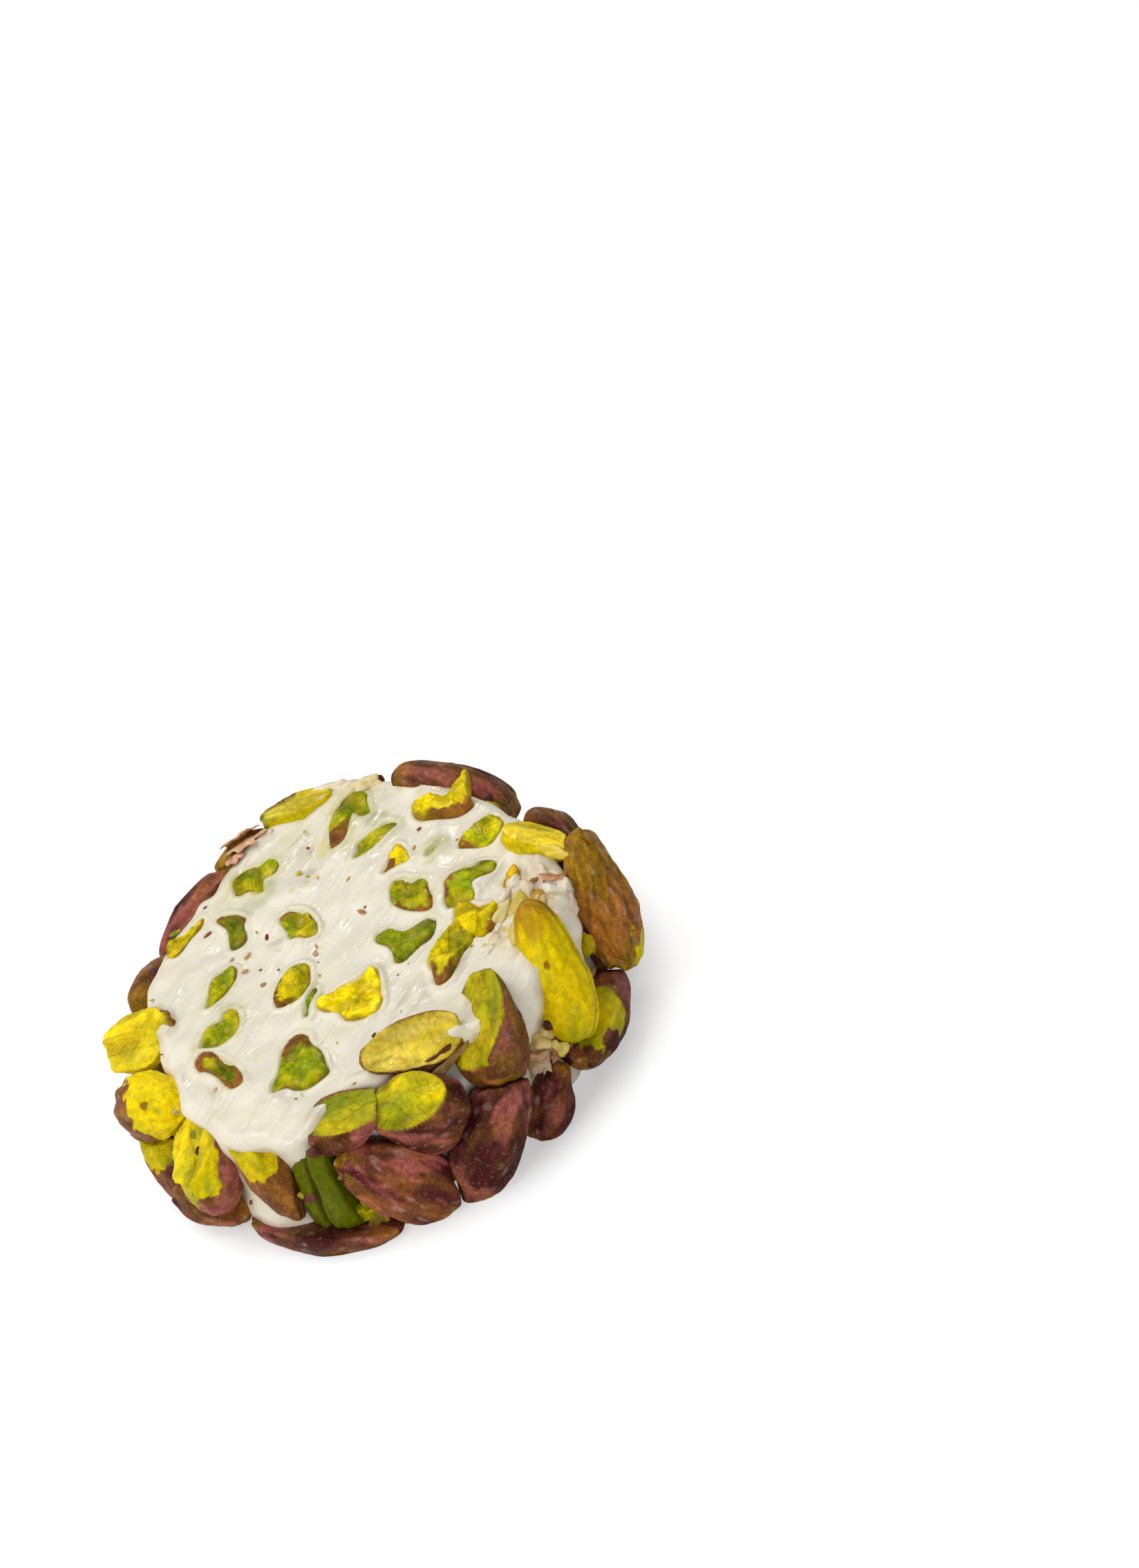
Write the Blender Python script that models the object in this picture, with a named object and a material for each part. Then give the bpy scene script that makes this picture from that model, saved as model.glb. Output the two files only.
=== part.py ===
"""Nougat bar: one thick round slice of white pistachio nougat, rolled in whole pistachio kernels.

The slice lies on its back face. The nougat is one solid disc with an uneven outline, and every
kernel pressed into its rim is a solid of its own, which sits in a pocket of the nougat.
"""
import math
from collections import namedtuple

import bmesh
import bpy
import numpy as np
from mathutils import Vector

MM = 0.001

# The slice. Its outline is a mean radius with a few waves: (waves round the rim, height, crest angle).
SLICE_HEIGHT = 16.0
OUTLINE_RADIUS = 27.9
OUTLINE_WAVES = ((1, 2.2, 33.0), (2, 1.8, 128.0), (3, 0.8, 277.0), (4, 0.7, 258.0), (5, 0.5, 17.0))
OUTLINE_POINTS = 64
EDGE_ROUND = 0.8

# The kernels. A kernel is an egg: blunt at one end, with a slightly flattened belly.
KERNEL_SEGMENTS = 12
KERNEL_RINGS = 7
KERNEL_TAPER = 0.14
KERNEL_FULLNESS = 0.9
POCKET_SEGMENTS = 9
POCKET_RINGS = 6

# Clearances, in millimetres.
GAP = 0.32
POCKET_GROWTH = 0.45
FOOT_CLEARANCE = 0.1
MERGE_DISTANCE = 0.12

# Where two kernels press on each other, the one placed first keeps this much more of its shape.
FIRST_KEEPS = 0.72
CONTACT_DIRECTIONS = 700

# The kernels that a loop adds where the rim is still bare.
FILL_FROM_ANGLE = 2.0
FILL_TO_ANGLE = 172.0
FILL_STEP = 3.0
FILL_LAYERS = (4.3, 11.4, 8.0)
FILL_SPINS = (-35.0, 0.0, 35.0, 75.0)
FILL_OVERLAP = 1.5
BARE_LIP = (54.0, 78.0)
BARE_LIP_HEIGHT = 8.5
FILL_SEED = 11

NOUGAT = ("nougat", (0.78, 0.76, 0.70), 0.55)
SKIN = ("kernel_skin", (0.10, 0.035, 0.04), 0.6)
FLESH = ("kernel_flesh", (0.55, 0.52, 0.06), 0.5)

# One row is one kernel: where its middle is round the rim (angle, radius and height over the table),
# how its long axis lies (spin: 0 along the rim, 90 upright; lean: its far end dips into the slice),
# its size, its finish, and a knife cut if it has one: the cut's direction (turned from straight out,
# risen from level) and how far from the kernel's middle it goes.
Kernel = namedtuple("Kernel", "angle radius height spin lean length width thickness finish cut")

KERNELS = (
    Kernel(278.0, 20.5, 17.0, 170, 10, 12.0, 6.5, 6.5, FLESH, (0, 55, 0.6)),
    Kernel(322.5, 26.8, 13.3, 48, 20, 17.5, 7.5, 8.0, FLESH, None),
    Kernel(298.0, 23.5, 15.3, 58, 35, 16.0, 9.5, 9.0, FLESH, (-116, 62, 1.4)),
    Kernel(283.0, 27.5, 5.3, 48, 0, 17.0, 8.8, 9.0, SKIN, None),
    Kernel(258.0, 27.0, 5.5, 125, 0, 16.0, 10.0, 8.5, SKIN, None),
    Kernel(270.0, 26.0, 12.8, 127, 0, 13.0, 10.0, 8.5, SKIN, (-10, 72, 2.6)),
    Kernel(241.0, 26.5, 7.5, 93, 10, 15.0, 8.0, 7.5, FLESH, None),
    Kernel(252.0, 25.0, 14.8, 15, 0, 11.0, 5.5, 6.0, FLESH, (0, 80, 1.2)),
    Kernel(228.0, 27.0, 10.5, 120, 15, 13.5, 6.5, 6.5, SKIN, (0, 70, 3.4)),
    Kernel(208.0, 27.0, 11.3, 105, 25, 15.5, 9.0, 8.0, SKIN, (-26, 55, 1.6)),
    Kernel(187.0, 27.0, 12.8, 20, 20, 11.0, 8.8, 8.5, FLESH, None),
    Kernel(166.0, 25.5, 14.8, 90, 80, 9.5, 8.5, 6.5, FLESH, (60, 62, 1.2)),
    Kernel(237.0, 27.5, 2.2, 178, 0, 16.5, 7.5, 7.5, SKIN, None),
    Kernel(349.0, 31.0, 10.5, 48, 0, 17.5, 8.5, 8.0, SKIN, None),
    Kernel(325.0, 28.5, 4.2, -8, 0, 16.0, 8.5, 8.0, SKIN, None),
    Kernel(300.0, 27.5, 2.8, 40, 0, 9.5, 6.0, 6.0, SKIN, None),
    Kernel(190.0, 27.8, 6.0, 120, 0, 13.0, 7.5, 8.0, SKIN, None),
    Kernel(203.0, 27.8, 3.2, 0, 0, 12.0, 7.5, 8.0, SKIN, None),
    Kernel(5.0, 27.3, 16.0, 180, -33, 9.5, 6.0, 5.0, FLESH, (0, 75, 1.4)),
    Kernel(10.0, 29.8, 13.6, 10, 0, 10.0, 6.0, 6.0, SKIN, None),
    Kernel(45.0, 31.0, 13.0, 22, 0, 16.0, 8.5, 8.5, SKIN, None),
    Kernel(82.0, 31.5, 14.3, 0, 0, 8.0, 7.0, 5.0, FLESH, (0, 76, 1.6)),
    Kernel(97.0, 29.5, 13.0, 0, 0, 9.0, 6.0, 6.0, SKIN, None),
    Kernel(114.0, 28.0, 11.5, 165, 0, 16.0, 8.5, 8.0, SKIN, None),
    Kernel(139.0, 27.0, 11.0, 20, 0, 12.0, 7.5, 7.5, SKIN, None),
)


def clear_scene():
    for thing in list(bpy.data.objects):
        bpy.data.objects.remove(thing, do_unlink=True)


def make_material(finish):
    """A plain Principled material in a finish's name, colour and roughness."""
    name, colour, roughness = finish
    material = bpy.data.materials.get(name)
    if material is None:
        material = bpy.data.materials.new(name)
        material.use_nodes = True
        shader = material.node_tree.nodes["Principled BSDF"]
        shader.inputs["Base Color"].default_value = (*colour, 1.0)
        shader.inputs["Roughness"].default_value = roughness
        shader.inputs["Metallic"].default_value = 0.0
    return material


def add_object(name, mesh_builder, finish, collection=None):
    """Turn a bmesh into a named, smooth-shaded object with its own material."""
    mesh = bpy.data.meshes.new(name)
    mesh_builder.to_mesh(mesh)
    mesh_builder.free()
    mesh.shade_smooth()
    mesh.set_sharp_from_angle(angle=math.radians(40.0))
    mesh.materials.append(make_material(finish))
    thing = bpy.data.objects.new(name, mesh)
    (collection or bpy.context.scene.collection).objects.link(thing)
    return thing


def outline_radius(angle):
    """Radius of the nougat's outline at an angle in degrees."""
    return OUTLINE_RADIUS + sum(
        height * math.cos(math.radians(waves * angle - crest)) for waves, height, crest in OUTLINE_WAVES
    )


def rim_directions(angle):
    """Straight out, along the rim and up, at an angle in degrees."""
    turn = math.radians(angle)
    outward = np.array([math.cos(turn), math.sin(turn), 0.0])
    along = np.array([-math.sin(turn), math.cos(turn), 0.0])
    return outward, along, np.array([0.0, 0.0, 1.0])


def kernel_axes(kernel):
    """The kernel's long, wide and thick directions."""
    outward, along, upward = rim_directions(kernel.angle)
    spin = math.radians(kernel.spin)
    lean = math.radians(kernel.lean)
    in_rim = math.cos(spin) * along + math.sin(spin) * upward
    long_axis = math.cos(lean) * in_rim - math.sin(lean) * outward
    thick_axis = outward - long_axis * (outward @ long_axis)
    if np.linalg.norm(thick_axis) < 0.2:
        thick_axis = upward - long_axis * (upward @ long_axis)
    thick_axis /= np.linalg.norm(thick_axis)
    return long_axis, np.cross(thick_axis, long_axis), thick_axis


def kernel_middle(kernel):
    outward, _, upward = rim_directions(kernel.angle)
    return outward * kernel.radius + upward * kernel.height


def egg_points(kernel, growth, segments, rings):
    """Points of a kernel's egg, in millimetres: an ellipsoid whose far end is slimmer."""
    long_axis, wide_axis, thick_axis = kernel_axes(kernel)
    middle = kernel_middle(kernel)
    half = np.array([kernel.length, kernel.width, kernel.thickness]) / 2.0 + growth
    points = [middle - long_axis * half[0], middle + long_axis * half[0]]
    for ring in range(1, rings):
        polar = math.pi * ring / rings
        along = math.cos(polar)
        girth = math.sin(polar) ** KERNEL_FULLNESS * (1.0 - KERNEL_TAPER * along)
        for segment in range(segments):
            around = 2.0 * math.pi * (segment + 0.5 * (ring % 2)) / segments
            points.append(
                middle
                + long_axis * half[0] * along
                + wide_axis * half[1] * girth * math.cos(around)
                + thick_axis * half[2] * girth * math.sin(around)
            )
    return np.array(points)


def hull_of(points):
    """The closed convex body round a set of points in millimetres, as a bmesh in metres."""
    builder = bmesh.new()
    for point in points:
        builder.verts.new(Vector(point * MM))
    bmesh.ops.remove_doubles(builder, verts=builder.verts, dist=MERGE_DISTANCE * MM)
    result = bmesh.ops.convex_hull(builder, input=builder.verts)
    spare = {item for item in result["geom_interior"] + result["geom_unused"] if item.is_valid}
    bmesh.ops.delete(builder, geom=[item for item in spare if isinstance(item, bmesh.types.BMVert)], context="VERTS")
    bmesh.ops.recalc_face_normals(builder, faces=builder.faces)
    return builder


def cut_points(points, normal, reach):
    """Points of a convex body after everything past a plane is cut off."""
    builder = hull_of(points)
    bmesh.ops.bisect_plane(
        builder,
        geom=builder.verts[:] + builder.edges[:] + builder.faces[:],
        plane_co=Vector(normal * reach * MM),
        plane_no=Vector(normal),
        clear_outer=True,
    )
    kept = np.array([vertex.co[:] for vertex in builder.verts]) / MM
    builder.free()
    return kept


def knife_cut(kernel):
    """The direction and the reach of a kernel's own knife cut."""
    turn, rise, depth = kernel.cut
    outward, _, upward = rim_directions(kernel.angle + turn)
    lift = math.radians(rise)
    normal = math.cos(lift) * outward + math.sin(lift) * upward
    return normal, normal @ kernel_middle(kernel) + depth


def sphere_directions(count):
    """Directions spread evenly over a sphere, by the golden angle."""
    step = np.arange(count) + 0.5
    height = 1.0 - 2.0 * step / count
    turn = math.pi * (1.0 + math.sqrt(5.0)) * step
    ring = np.sqrt(1.0 - height**2)
    return np.stack([ring * np.cos(turn), ring * np.sin(turn), height], axis=1)


def best_separation(first, second, directions):
    """The direction that parts two convex bodies best, and where each of them ends along it."""
    reach_first = (first @ directions.T).max(axis=0)
    start_second = (second @ directions.T).min(axis=0)
    best = int(np.argmax(start_second - reach_first))
    return directions[best], reach_first[best], start_second[best]


def press_apart(bodies, directions):
    """Flatten each pair of pressing kernels against each other, with a gap between them."""
    for one in range(len(bodies)):
        for other in range(one + 1, len(bodies)):
            direction, reach, start = best_separation(bodies[one], bodies[other], directions)
            if start - reach >= GAP:
                continue
            contact = FIRST_KEEPS * reach + (1.0 - FIRST_KEEPS) * start
            bodies[one] = cut_points(bodies[one], direction, contact - GAP / 2.0)
            bodies[other] = cut_points(bodies[other], -direction, -(contact + GAP / 2.0))


def room_beside(body, bodies, directions):
    """How far a convex body stays clear of all the others; negative where it presses into one."""
    gaps = []
    for other in bodies:
        _, reach, start = best_separation(other, body, directions)
        gaps.append(start - reach)
    return min(gaps)


def filled_rim(kernels, directions):
    """Add kernels, layer by layer, wherever the bare part of the rim has room for one."""
    chance = np.random.default_rng(FILL_SEED)
    placed = list(kernels)
    bodies = [egg_points(kernel, 0.0, POCKET_SEGMENTS, POCKET_RINGS) for kernel in placed]
    for layer in FILL_LAYERS:
        for angle in np.arange(FILL_FROM_ANGLE, FILL_TO_ANGLE, FILL_STEP):
            if layer > BARE_LIP_HEIGHT and BARE_LIP[0] < angle < BARE_LIP[1]:
                continue
            radius = outline_radius(angle) + chance.uniform(-0.6, 0.6)
            length = chance.uniform(13.0, 16.5)
            width = chance.uniform(7.5, 9.0)
            turn = chance.uniform(-12.0, 12.0)
            choices = []
            for spin in FILL_SPINS:
                kernel = Kernel(angle, radius, layer, spin + turn, 0, length, width, 0.93 * width, SKIN, None)
                body = egg_points(kernel, 0.0, POCKET_SEGMENTS, POCKET_RINGS)
                choices.append((room_beside(body, bodies, directions), kernel, body))
            room, kernel, body = max(choices, key=lambda choice: choice[0])
            if room > -FILL_OVERLAP:
                placed.append(kernel)
                bodies.append(body)
    return placed


def build_kernels(kernels, directions):
    """One solid for each kernel: an egg, less its knife cut, the table and its neighbours."""
    bodies = []
    for kernel in kernels:
        body = egg_points(kernel, 0.0, KERNEL_SEGMENTS, KERNEL_RINGS)
        if kernel.cut:
            body = cut_points(body, *knife_cut(kernel))
        bodies.append(cut_points(body, np.array([0.0, 0.0, -1.0]), -FOOT_CLEARANCE))
    press_apart(bodies, directions)
    return [
        add_object(f"kernel_{number:02d}", hull_of(body), kernel.finish)
        for number, (kernel, body) in enumerate(zip(kernels, bodies), start=1)
    ]


def build_disc():
    """The nougat before its pockets: stacked outlines with a narrow rounding at both faces."""
    builder = bmesh.new()
    levels = (
        (0.0, EDGE_ROUND),
        (EDGE_ROUND * 0.3, EDGE_ROUND * 0.3),
        (EDGE_ROUND, 0.0),
        (SLICE_HEIGHT - EDGE_ROUND, 0.0),
        (SLICE_HEIGHT - EDGE_ROUND * 0.3, EDGE_ROUND * 0.3),
        (SLICE_HEIGHT, EDGE_ROUND),
    )
    loops = []
    for height, inset in levels:
        loop = []
        for step in range(OUTLINE_POINTS):
            angle = 360.0 * step / OUTLINE_POINTS
            outward, _, upward = rim_directions(angle)
            point = outward * (outline_radius(angle) - inset) + upward * height
            loop.append(builder.verts.new(Vector(point * MM)))
        loops.append(loop)
    for lower, upper in zip(loops, loops[1:]):
        for step in range(OUTLINE_POINTS):
            following = (step + 1) % OUTLINE_POINTS
            builder.faces.new((lower[step], lower[following], upper[following], upper[step]))
    builder.faces.new(list(reversed(loops[0])))
    builder.faces.new(loops[-1])
    return add_object("nougat", builder, NOUGAT)


def build_pockets(kernels):
    """One hidden cutter for each kernel: its egg, grown by the pocket's clearance."""
    pockets = bpy.data.collections.new("pockets")
    bpy.context.scene.collection.children.link(pockets)
    for number, kernel in enumerate(kernels, start=1):
        points = egg_points(kernel, POCKET_GROWTH, POCKET_SEGMENTS, POCKET_RINGS)
        cutter = add_object(f"pocket_{number:02d}", hull_of(points), NOUGAT, pockets)
        cutter.hide_render = True
        cutter.display_type = "WIRE"
    return pockets


def keep_largest_island(mesh):
    """Drop the crumbs that pockets cut free, so the nougat stays one body."""
    builder = bmesh.new()
    builder.from_mesh(mesh)
    waiting = set(builder.verts)
    islands = []
    while waiting:
        front = [waiting.pop()]
        island = set(front)
        while front:
            vertex = front.pop()
            for edge in vertex.link_edges:
                other = edge.other_vert(vertex)
                if other in waiting:
                    waiting.discard(other)
                    island.add(other)
                    front.append(other)
        islands.append(island)
    islands.sort(key=len)
    for island in islands[:-1]:
        bmesh.ops.delete(builder, geom=list(island), context="VERTS")
    builder.to_mesh(mesh)
    builder.free()


def cut_pockets(disc, pockets):
    """Cut every pocket out of the disc and keep the one large body."""
    cut = disc.modifiers.new("pockets", "BOOLEAN")
    cut.operation = "DIFFERENCE"
    cut.operand_type = "COLLECTION"
    cut.collection = pockets
    cut.solver = "EXACT"
    graph = bpy.context.evaluated_depsgraph_get()
    carved = bpy.data.meshes.new_from_object(disc.evaluated_get(graph))
    disc.modifiers.remove(cut)
    keep_largest_island(carved)
    disc.data = carved


def centre_on_footprint(things):
    """Move everything so that the origin is under the middle of the whole slice."""
    corners = np.array([vertex.co[:] for thing in things for vertex in thing.data.vertices])
    middle = (corners.min(axis=0) + corners.max(axis=0)) / 2.0
    shift = Vector((-middle[0], -middle[1], 0.0))
    for thing in things:
        for vertex in thing.data.vertices:
            vertex.co += shift
    print("log axis stands at", [round(value / MM, 2) for value in shift[:2]], "mm")


def main():
    clear_scene()
    directions = sphere_directions(CONTACT_DIRECTIONS)
    kernels = filled_rim(KERNELS, directions)
    solids = build_kernels(kernels, directions)
    disc = build_disc()
    pockets = build_pockets(kernels)
    cut_pockets(disc, pockets)
    centre_on_footprint([disc] + solids)


main()
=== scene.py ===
"""A thick round slice of pistachio nougat, rolled in whole pistachio kernels, lying on a white table."""
import math
from collections import namedtuple

import bpy
import numpy as np
from bpy.props import FloatProperty, FloatVectorProperty, IntProperty, PointerProperty
from mathutils import Matrix, Vector


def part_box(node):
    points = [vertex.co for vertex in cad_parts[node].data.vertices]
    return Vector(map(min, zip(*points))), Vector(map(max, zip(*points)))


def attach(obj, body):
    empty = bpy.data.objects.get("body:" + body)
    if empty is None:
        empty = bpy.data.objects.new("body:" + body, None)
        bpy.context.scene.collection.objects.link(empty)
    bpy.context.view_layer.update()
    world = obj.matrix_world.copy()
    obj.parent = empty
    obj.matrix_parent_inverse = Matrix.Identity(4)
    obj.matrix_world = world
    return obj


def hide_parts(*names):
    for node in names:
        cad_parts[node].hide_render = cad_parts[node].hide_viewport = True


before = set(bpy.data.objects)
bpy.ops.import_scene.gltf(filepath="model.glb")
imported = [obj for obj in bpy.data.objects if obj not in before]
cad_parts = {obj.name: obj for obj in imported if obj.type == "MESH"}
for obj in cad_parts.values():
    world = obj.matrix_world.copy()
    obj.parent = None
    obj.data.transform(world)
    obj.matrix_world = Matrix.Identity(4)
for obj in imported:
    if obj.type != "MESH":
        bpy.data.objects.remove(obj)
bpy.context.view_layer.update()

bl_info = {
    "name": "Pistachio nougat slice",
    "version": (1, 0, 0),
    "blender": (4, 5, 0),
    "location": "View3D > Sidebar > Nougat",
    "description": "Builds a slice of pistachio nougat: the nougat, its rim kernels, chips, crumbs and stage",
    "category": "Object",
}

MM = 0.001

# Where the log's axis stands in the frame, and the height of the cut face, in millimetres.
LOG_AXIS = np.array([-1.4, -2.2, 0.0])
FACE_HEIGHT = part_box("nougat")[1][2] / MM

# ---------------------------------------------------------------- number helpers


def linear(red, green, blue):
    """A display colour, 0 to 255, as the linear numbers that shaders use."""
    values = np.array([red, green, blue]) / 255.0
    return np.where(values <= 0.04045, values / 12.92, ((values + 0.055) / 1.055) ** 2.4)


def heading(turn, rise):
    """A unit direction from a turn round +Z and a rise from level, both in degrees."""
    turn, rise = math.radians(turn), math.radians(rise)
    return np.array([math.cos(rise) * math.cos(turn), math.cos(rise) * math.sin(turn), math.sin(rise)])


def unit(vectors):
    """Vectors brought to length 1."""
    return vectors / np.maximum(np.linalg.norm(vectors, axis=-1, keepdims=True), 1e-9)


def ease(values, low, high):
    """Smooth step: 0 below low, 1 above high, with no corner at either end."""
    share = np.clip((values - low) / (high - low), 0.0, 1.0)
    return share * share * (3.0 - 2.0 * share)


def blend(first, second, share):
    """Mix two colours, or arrays of them, by a share for each point."""
    share = np.asarray(share)[..., None]
    return first * (1.0 - share) + second * share


def ripple(points, wavelength, seed, count=22):
    """Smooth noise of about -1 to 1: the sum of plane waves with seeded directions, lengths and phases."""
    chance = np.random.default_rng(seed)
    directions = unit(chance.normal(size=(count, 3)))
    lengths = wavelength * chance.uniform(0.7, 1.6, count)
    phases = chance.uniform(0.0, 2.0 * math.pi, count)
    swing = points @ (directions * (2.0 * math.pi / lengths)[:, None]).T + phases
    return np.sin(swing).sum(axis=-1) * math.sqrt(2.0 / count) * 0.7


def chipped(points, wavelength, seed, count=9, slope=0.35):
    """A broken surface of about -1 to 1: each ripple's whole part kept flat, then sloped by its remainder."""
    steps = 2.2 * ripple(points, wavelength, seed, count)
    step = np.floor(steps)
    remainder = steps - step
    return (step + ease(remainder, 0.0, slope) + 0.4 * remainder) / 2.6


def smooth_loop(corners, count):
    """Points on a closed curve through given corners: a Catmull-Rom curve, evenly stepped."""
    corners = np.asarray(corners, float)
    place = np.linspace(0.0, len(corners), count, endpoint=False)
    base = np.floor(place).astype(int)
    t = (place - base)[:, None]
    a, b, c, d = (corners[(base + step) % len(corners)] for step in (-1, 0, 1, 2))
    return 0.5 * (2 * b + (c - a) * t + (2 * a - 5 * b + 4 * c - d) * t**2 + (3 * b - a - 3 * c + d) * t**3)


def distance_to_loop(points, loop):
    """Distance from flat points to a closed outline, below zero inside it."""
    start, end = loop, np.roll(loop, -1, axis=0)
    edge = end - start
    offset = points[:, None, :] - start[None]
    share = np.clip((offset * edge).sum(-1) / (edge * edge).sum(-1), 0.0, 1.0)
    gap = np.linalg.norm(offset - share[..., None] * edge, axis=-1).min(axis=1)
    above = (start[None, :, 1] > points[:, None, 1]) != (end[None, :, 1] > points[:, None, 1])
    run = np.where(np.abs(edge[:, 1]) < 1e-9, 1e-9, edge[:, 1])
    cross = start[:, 0] + (points[:, None, 1] - start[:, 1]) * edge[:, 0] / run
    inside = (above & (points[:, None, 0] < cross)).sum(axis=1) % 2 == 1
    return np.where(inside, -gap, gap)


# ---------------------------------------------------------------- mesh helpers


def shell_faces(rings, segments):
    """Faces of a closed shell: a pole, then rings of points, then another pole."""
    ring = np.arange(rings - 1)[:, None] * segments
    here = np.arange(segments)[None]
    following = (here + 1) % segments
    quads = np.stack([ring + here, ring + following, ring + segments + following, ring + segments + here], -1)
    quads = quads.reshape(-1, 4) + 1
    first = np.stack([np.zeros(segments, int), following[0] + 1, here[0] + 1], -1)
    last_ring = (rings - 1) * segments + 1
    pole = np.full(segments, rings * segments + 1)
    last = np.stack([pole, last_ring + here[0], last_ring + following[0]], -1)
    return quads, np.concatenate([first, last])


class Shell:
    """One closed surface as arrays: points, quads, triangles and the values that each point carries."""

    def __init__(self, start, rings, end, **values):
        count, segments = rings.shape[:2]
        self.points = np.concatenate([start[None], rings.reshape(-1, 3), end[None]])
        self.quads, self.triangles = shell_faces(count, segments)
        self.values = values
        if self.volume() < 0.0:
            self.quads, self.triangles = self.quads[:, ::-1], self.triangles[:, ::-1]

    def volume(self):
        """The volume inside: the sum of the tetrahedra from the origin, below zero if turned inside out."""
        corners = np.concatenate([self.quads[:, [0, 1, 2]], self.quads[:, [0, 2, 3]], self.triangles])
        a, b, c = (self.points[corners[:, column]] for column in range(3))
        return (np.cross(a, b) * c).sum() / 6.0


def make_piece(name, shells, material, replaced=()):
    """Join shells into one smooth mesh piece, in millimetres, that rides on the slice."""
    starts = np.cumsum([0] + [len(shell.points) for shell in shells[:-1]])
    points = np.concatenate([shell.points for shell in shells]) * MM
    quads = np.concatenate([shell.quads + start for shell, start in zip(shells, starts)])
    triangles = np.concatenate([shell.triangles + start for shell, start in zip(shells, starts)])
    corners = np.concatenate([quads.ravel(), triangles.ravel()]).astype(np.int32)
    sizes = np.concatenate([np.full(len(quads), 4), np.full(len(triangles), 3)])
    mesh = bpy.data.meshes.new(name)
    mesh.vertices.add(len(points))
    mesh.vertices.foreach_set("co", points.astype(np.float32).ravel())
    mesh.loops.add(len(corners))
    mesh.loops.foreach_set("vertex_index", corners)
    mesh.polygons.add(len(sizes))
    mesh.polygons.foreach_set("loop_start", np.concatenate([[0], np.cumsum(sizes)[:-1]]).astype(np.int32))
    mesh.update(calc_edges=True)
    mesh.validate()
    for key in shells[0].values:
        stored = np.concatenate([shell.values[key] for shell in shells]).astype(np.float32)
        if stored.ndim == 2:
            alpha = np.ones((len(stored), 1), np.float32)
            attribute = mesh.attributes.new(key, "FLOAT_COLOR", "POINT")
            attribute.data.foreach_set("color", np.concatenate([stored, alpha], axis=1).ravel())
        else:
            attribute = mesh.attributes.new(key, "FLOAT", "POINT")
            attribute.data.foreach_set("value", stored)
    mesh.shade_smooth()
    mesh.materials.append(material)
    piece = bpy.data.objects.new(name, mesh)
    bpy.context.scene.collection.objects.link(piece)
    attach(piece, "root")
    if replaced:
        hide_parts(*replaced)
    return piece


# ---------------------------------------------------------------- shader helpers


class Term:
    """A shader socket that adds up: an expression on terms adds its Math nodes."""

    def __init__(self, graph, socket):
        self.graph = graph
        self.socket = socket

    def math(self, operation, other, swapped=False):
        """Add the Math node for an operation on this term and another term or number."""
        values = (other, self) if swapped else (self, other)
        return self.graph.add("ShaderNodeMath", {"operation": operation}, dict(enumerate(values)))

    def __add__(self, other):
        return self.math("ADD", other)

    def __sub__(self, other):
        return self.math("SUBTRACT", other)

    def __rsub__(self, other):
        return self.math("SUBTRACT", other, swapped=True)

    def __mul__(self, other):
        return self.math("MULTIPLY", other)

    __radd__ = __add__
    __rmul__ = __mul__


class Graph:
    """The nodes of one material or sky: every node comes from add()."""

    def __init__(self, name, store="materials", shader="Principled BSDF"):
        self.owner = getattr(bpy.data, store).new(name)
        self.owner.use_nodes = True
        self.nodes = self.owner.node_tree.nodes
        self.links = self.owner.node_tree.links
        self.shader = self.nodes[shader]

    def set_inputs(self, node, values):
        """Link or set a node's sockets, by name or by place."""
        for key, value in values.items():
            if isinstance(value, Term):
                self.links.new(value.socket, node.inputs[key])
            else:
                node.inputs[key].default_value = value

    def add(self, kind, settings=(), values=(), output=0):
        """Make a node of a type: its settings first, then the values or links of its sockets."""
        node = self.nodes.new(kind)
        for key, value in dict(settings).items():
            setattr(node, key, value)
        self.set_inputs(node, dict(values))
        return Term(self, node.outputs[output])

    def attribute(self, name, output="Color"):
        """A value that the mesh carries."""
        return self.add("ShaderNodeAttribute", {"attribute_name": name}, output=output)

    def place(self):
        """A point's place on its piece."""
        return self.add("ShaderNodeTexCoord", output="Object")

    def noise(self, wavelength, detail=3.0, roughness=0.5, distortion=0.0, place=None):
        """Noise whose blobs are about a wavelength across, in millimetres."""
        values = {"Vector": place or self.place(), "Scale": 1.0 / (wavelength * MM), "Detail": detail,
                  "Roughness": roughness, "Distortion": distortion}
        return self.add("ShaderNodeTexNoise", values=values)

    def span(self, value, low, high, to_low=0.0, to_high=1.0):
        """A value carried smoothly from one range to another."""
        settings = {"clamp": True, "interpolation_type": "SMOOTHSTEP"}
        return self.add("ShaderNodeMapRange", settings, {0: value, 1: low, 2: high, 3: to_low, 4: to_high})

    def mix(self, first, second, share, mode="MIX"):
        """Mix two colours by a share, as a Mix node in the given mode."""
        shades = [shade if isinstance(shade, Term) else (*shade, 1.0) for shade in (first, second)]
        settings = {"data_type": "RGBA", "blend_type": mode}
        return self.add("ShaderNodeMix", settings, {0: share, 6: shades[0], 7: shades[1]}, output=2)

    def bump(self, height, strength, distance):
        """A bump of a height in millimetres."""
        values = {"Height": height, "Strength": strength, "Distance": distance * MM}
        return self.add("ShaderNodeBump", values=values)

    def finish(self, **values):
        """Set the shader's own sockets, and give back the material or sky."""
        self.set_inputs(self.shader, {key.replace("_", " "): value for key, value in values.items()})
        return self.owner


# ---------------------------------------------------------------- settings


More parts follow.
